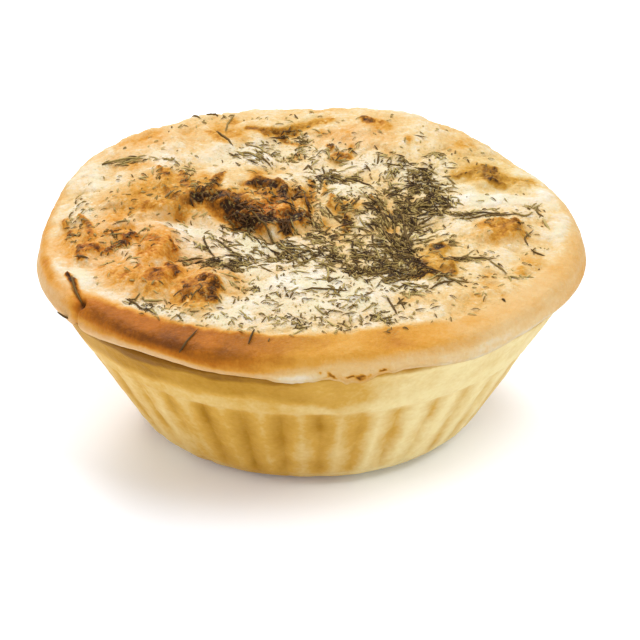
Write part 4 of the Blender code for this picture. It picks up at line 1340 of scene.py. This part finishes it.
def add_camera():
    """Sees the pie as in the photo: from its front, a little above."""
    cos, sin = math.cos(CAMERA_ELEVATION), math.sin(CAMERA_ELEVATION)
    data = bpy.data.cameras.new("camera")
    data.sensor_width = SENSOR_WIDTH
    data.lens = PIXELS_PER_MM * CAMERA_DISTANCE / FRAME_PIXELS * SENSOR_WIDTH
    data.clip_start = 0.01
    camera = bpy.data.objects.new("camera", data)
    place = RIM_CENTRE + CAMERA_DISTANCE * Vector((0, -cos, sin))
    right = (FRAME_PIXELS / 2 - RIM_CENTRE_PIXEL[0]) / PIXELS_PER_MM
    below = (FRAME_PIXELS / 2 - RIM_CENTRE_PIXEL[1]) / PIXELS_PER_MM
    aim = RIM_CENTRE + Vector((right, 0, 0)) - below * Vector((0, sin, cos))
    camera.location = place * MM
    camera.rotation_euler = (aim - place).to_track_quat("-Z", "Y").to_euler()
    bpy.context.scene.collection.objects.link(camera)
    bpy.context.scene.camera = camera


def add_light(name, place, size, power):
    """A soft box that faces the pie."""
    data = bpy.data.lights.new(name, "AREA")
    data.size = size * MM
    data.energy = power
    light = bpy.data.objects.new(name, data)
    light.location = Vector(place) * MM
    light.rotation_euler = (LIGHT_AIM - Vector(place)).to_track_quat("-Z", "Y").to_euler()
    bpy.context.scene.collection.objects.link(light)


def add_floor(colours):
    corners = [(x * FLOOR_HALF, y * FLOOR_HALF, 0) for x, y in ((-1, -1), (1, -1), (1, 1), (-1, 1))]
    material, _, shader = new_material("translucent_sweep_lit_from_below")
    for name, value in (
            ("Base Color", (*colours.floor, 1.0)), ("Roughness", 0.9), ("Specular IOR Level", 0.0),
            ("Emission Color", (1.0, 1.0, 1.0, 1.0)), ("Emission Strength", FLOOR_GLOW)):
        shader.inputs[name].default_value = value
    floor = make_object("floor", make_mesh("floor", corners, [(0, 1, 2, 3)]), material)


def set_world(colours):
    world = bpy.data.worlds.new("studio")
    world.use_nodes = True
    background = world.node_tree.nodes["Background"]
    background.inputs["Color"].default_value = (*colours.tent, 1.0)
    background.inputs["Strength"].default_value = TENT_STRENGTH
    bpy.context.scene.world = world


class BakeCup(bpy.types.Operator):
    """Make the fluted shortcrust cup"""

    bl_idname = "mini_pie.bake_cup"
    bl_label = "Bake cup"

    def execute(self, context):
        cup = make_cup(context.scene.pie_sizes, cup_material(context.scene.pie_colours))
        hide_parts("pastry_cup")
        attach(cup, "root")
        return {"FINISHED"}


class BakeLid(bpy.types.Operator):
    """Make the puffed and browned lid"""

    bl_idname = "mini_pie.bake_lid"
    bl_label = "Bake lid"

    def execute(self, context):
        lid = make_lid(context.scene.pie_sizes, browned_lid_material(context.scene.pie_colours))
        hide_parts("pastry_lid")
        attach(lid, "root")
        return {"FINISHED"}


class StrewDill(bpy.types.Operator):
    """Strew dried dill over the lid"""

    bl_idname = "mini_pie.strew_dill"
    bl_label = "Strew dill"

    def execute(self, context):
        for piece in strew_dill(context.scene.pie_sizes, dill_material(context.scene.pie_colours)):
            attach(piece, "root")
        return {"FINISHED"}


class SetStage(bpy.types.Operator):
    """Set the camera, the lights and the white floor"""

    bl_idname = "mini_pie.set_stage"
    bl_label = "Set stage"

    def execute(self, context):
        add_camera()
        add_floor(context.scene.pie_colours)
        for light in LIGHTS:
            add_light(*light)
        set_world(context.scene.pie_colours)
        context.scene.view_settings.view_transform = "Standard"
        return {"FINISHED"}


class PiePanel(bpy.types.Panel):
    bl_label = "Mini pie"
    bl_idname = "VIEW3D_PT_mini_pie"
    bl_space_type = "VIEW_3D"
    bl_region_type = "UI"
    bl_category = "Mini pie"

    def draw(self, context):
        for step in STEPS:
            self.layout.operator(step.bl_idname)
        for group in (context.scene.pie_sizes, context.scene.pie_colours):
            column = self.layout.column()
            for name in group.__annotations__:
                column.prop(group, name)


STEPS = (BakeCup, BakeLid, StrewDill, SetStage)
CLASSES = (PieSizes, PieColours, *STEPS, PiePanel)


def register():
    for cls in CLASSES:
        bpy.utils.register_class(cls)
    bpy.types.Scene.pie_sizes = PointerProperty(type=PieSizes)
    bpy.types.Scene.pie_colours = PointerProperty(type=PieColours)


def unregister():
    del bpy.types.Scene.pie_colours
    del bpy.types.Scene.pie_sizes
    for cls in reversed(CLASSES):
        bpy.utils.unregister_class(cls)


def main():
    register()
    bpy.ops.mini_pie.bake_cup()
    bpy.ops.mini_pie.bake_lid()
    bpy.ops.mini_pie.strew_dill()
    bpy.ops.mini_pie.set_stage()


if __name__ == "__main__":
    main()
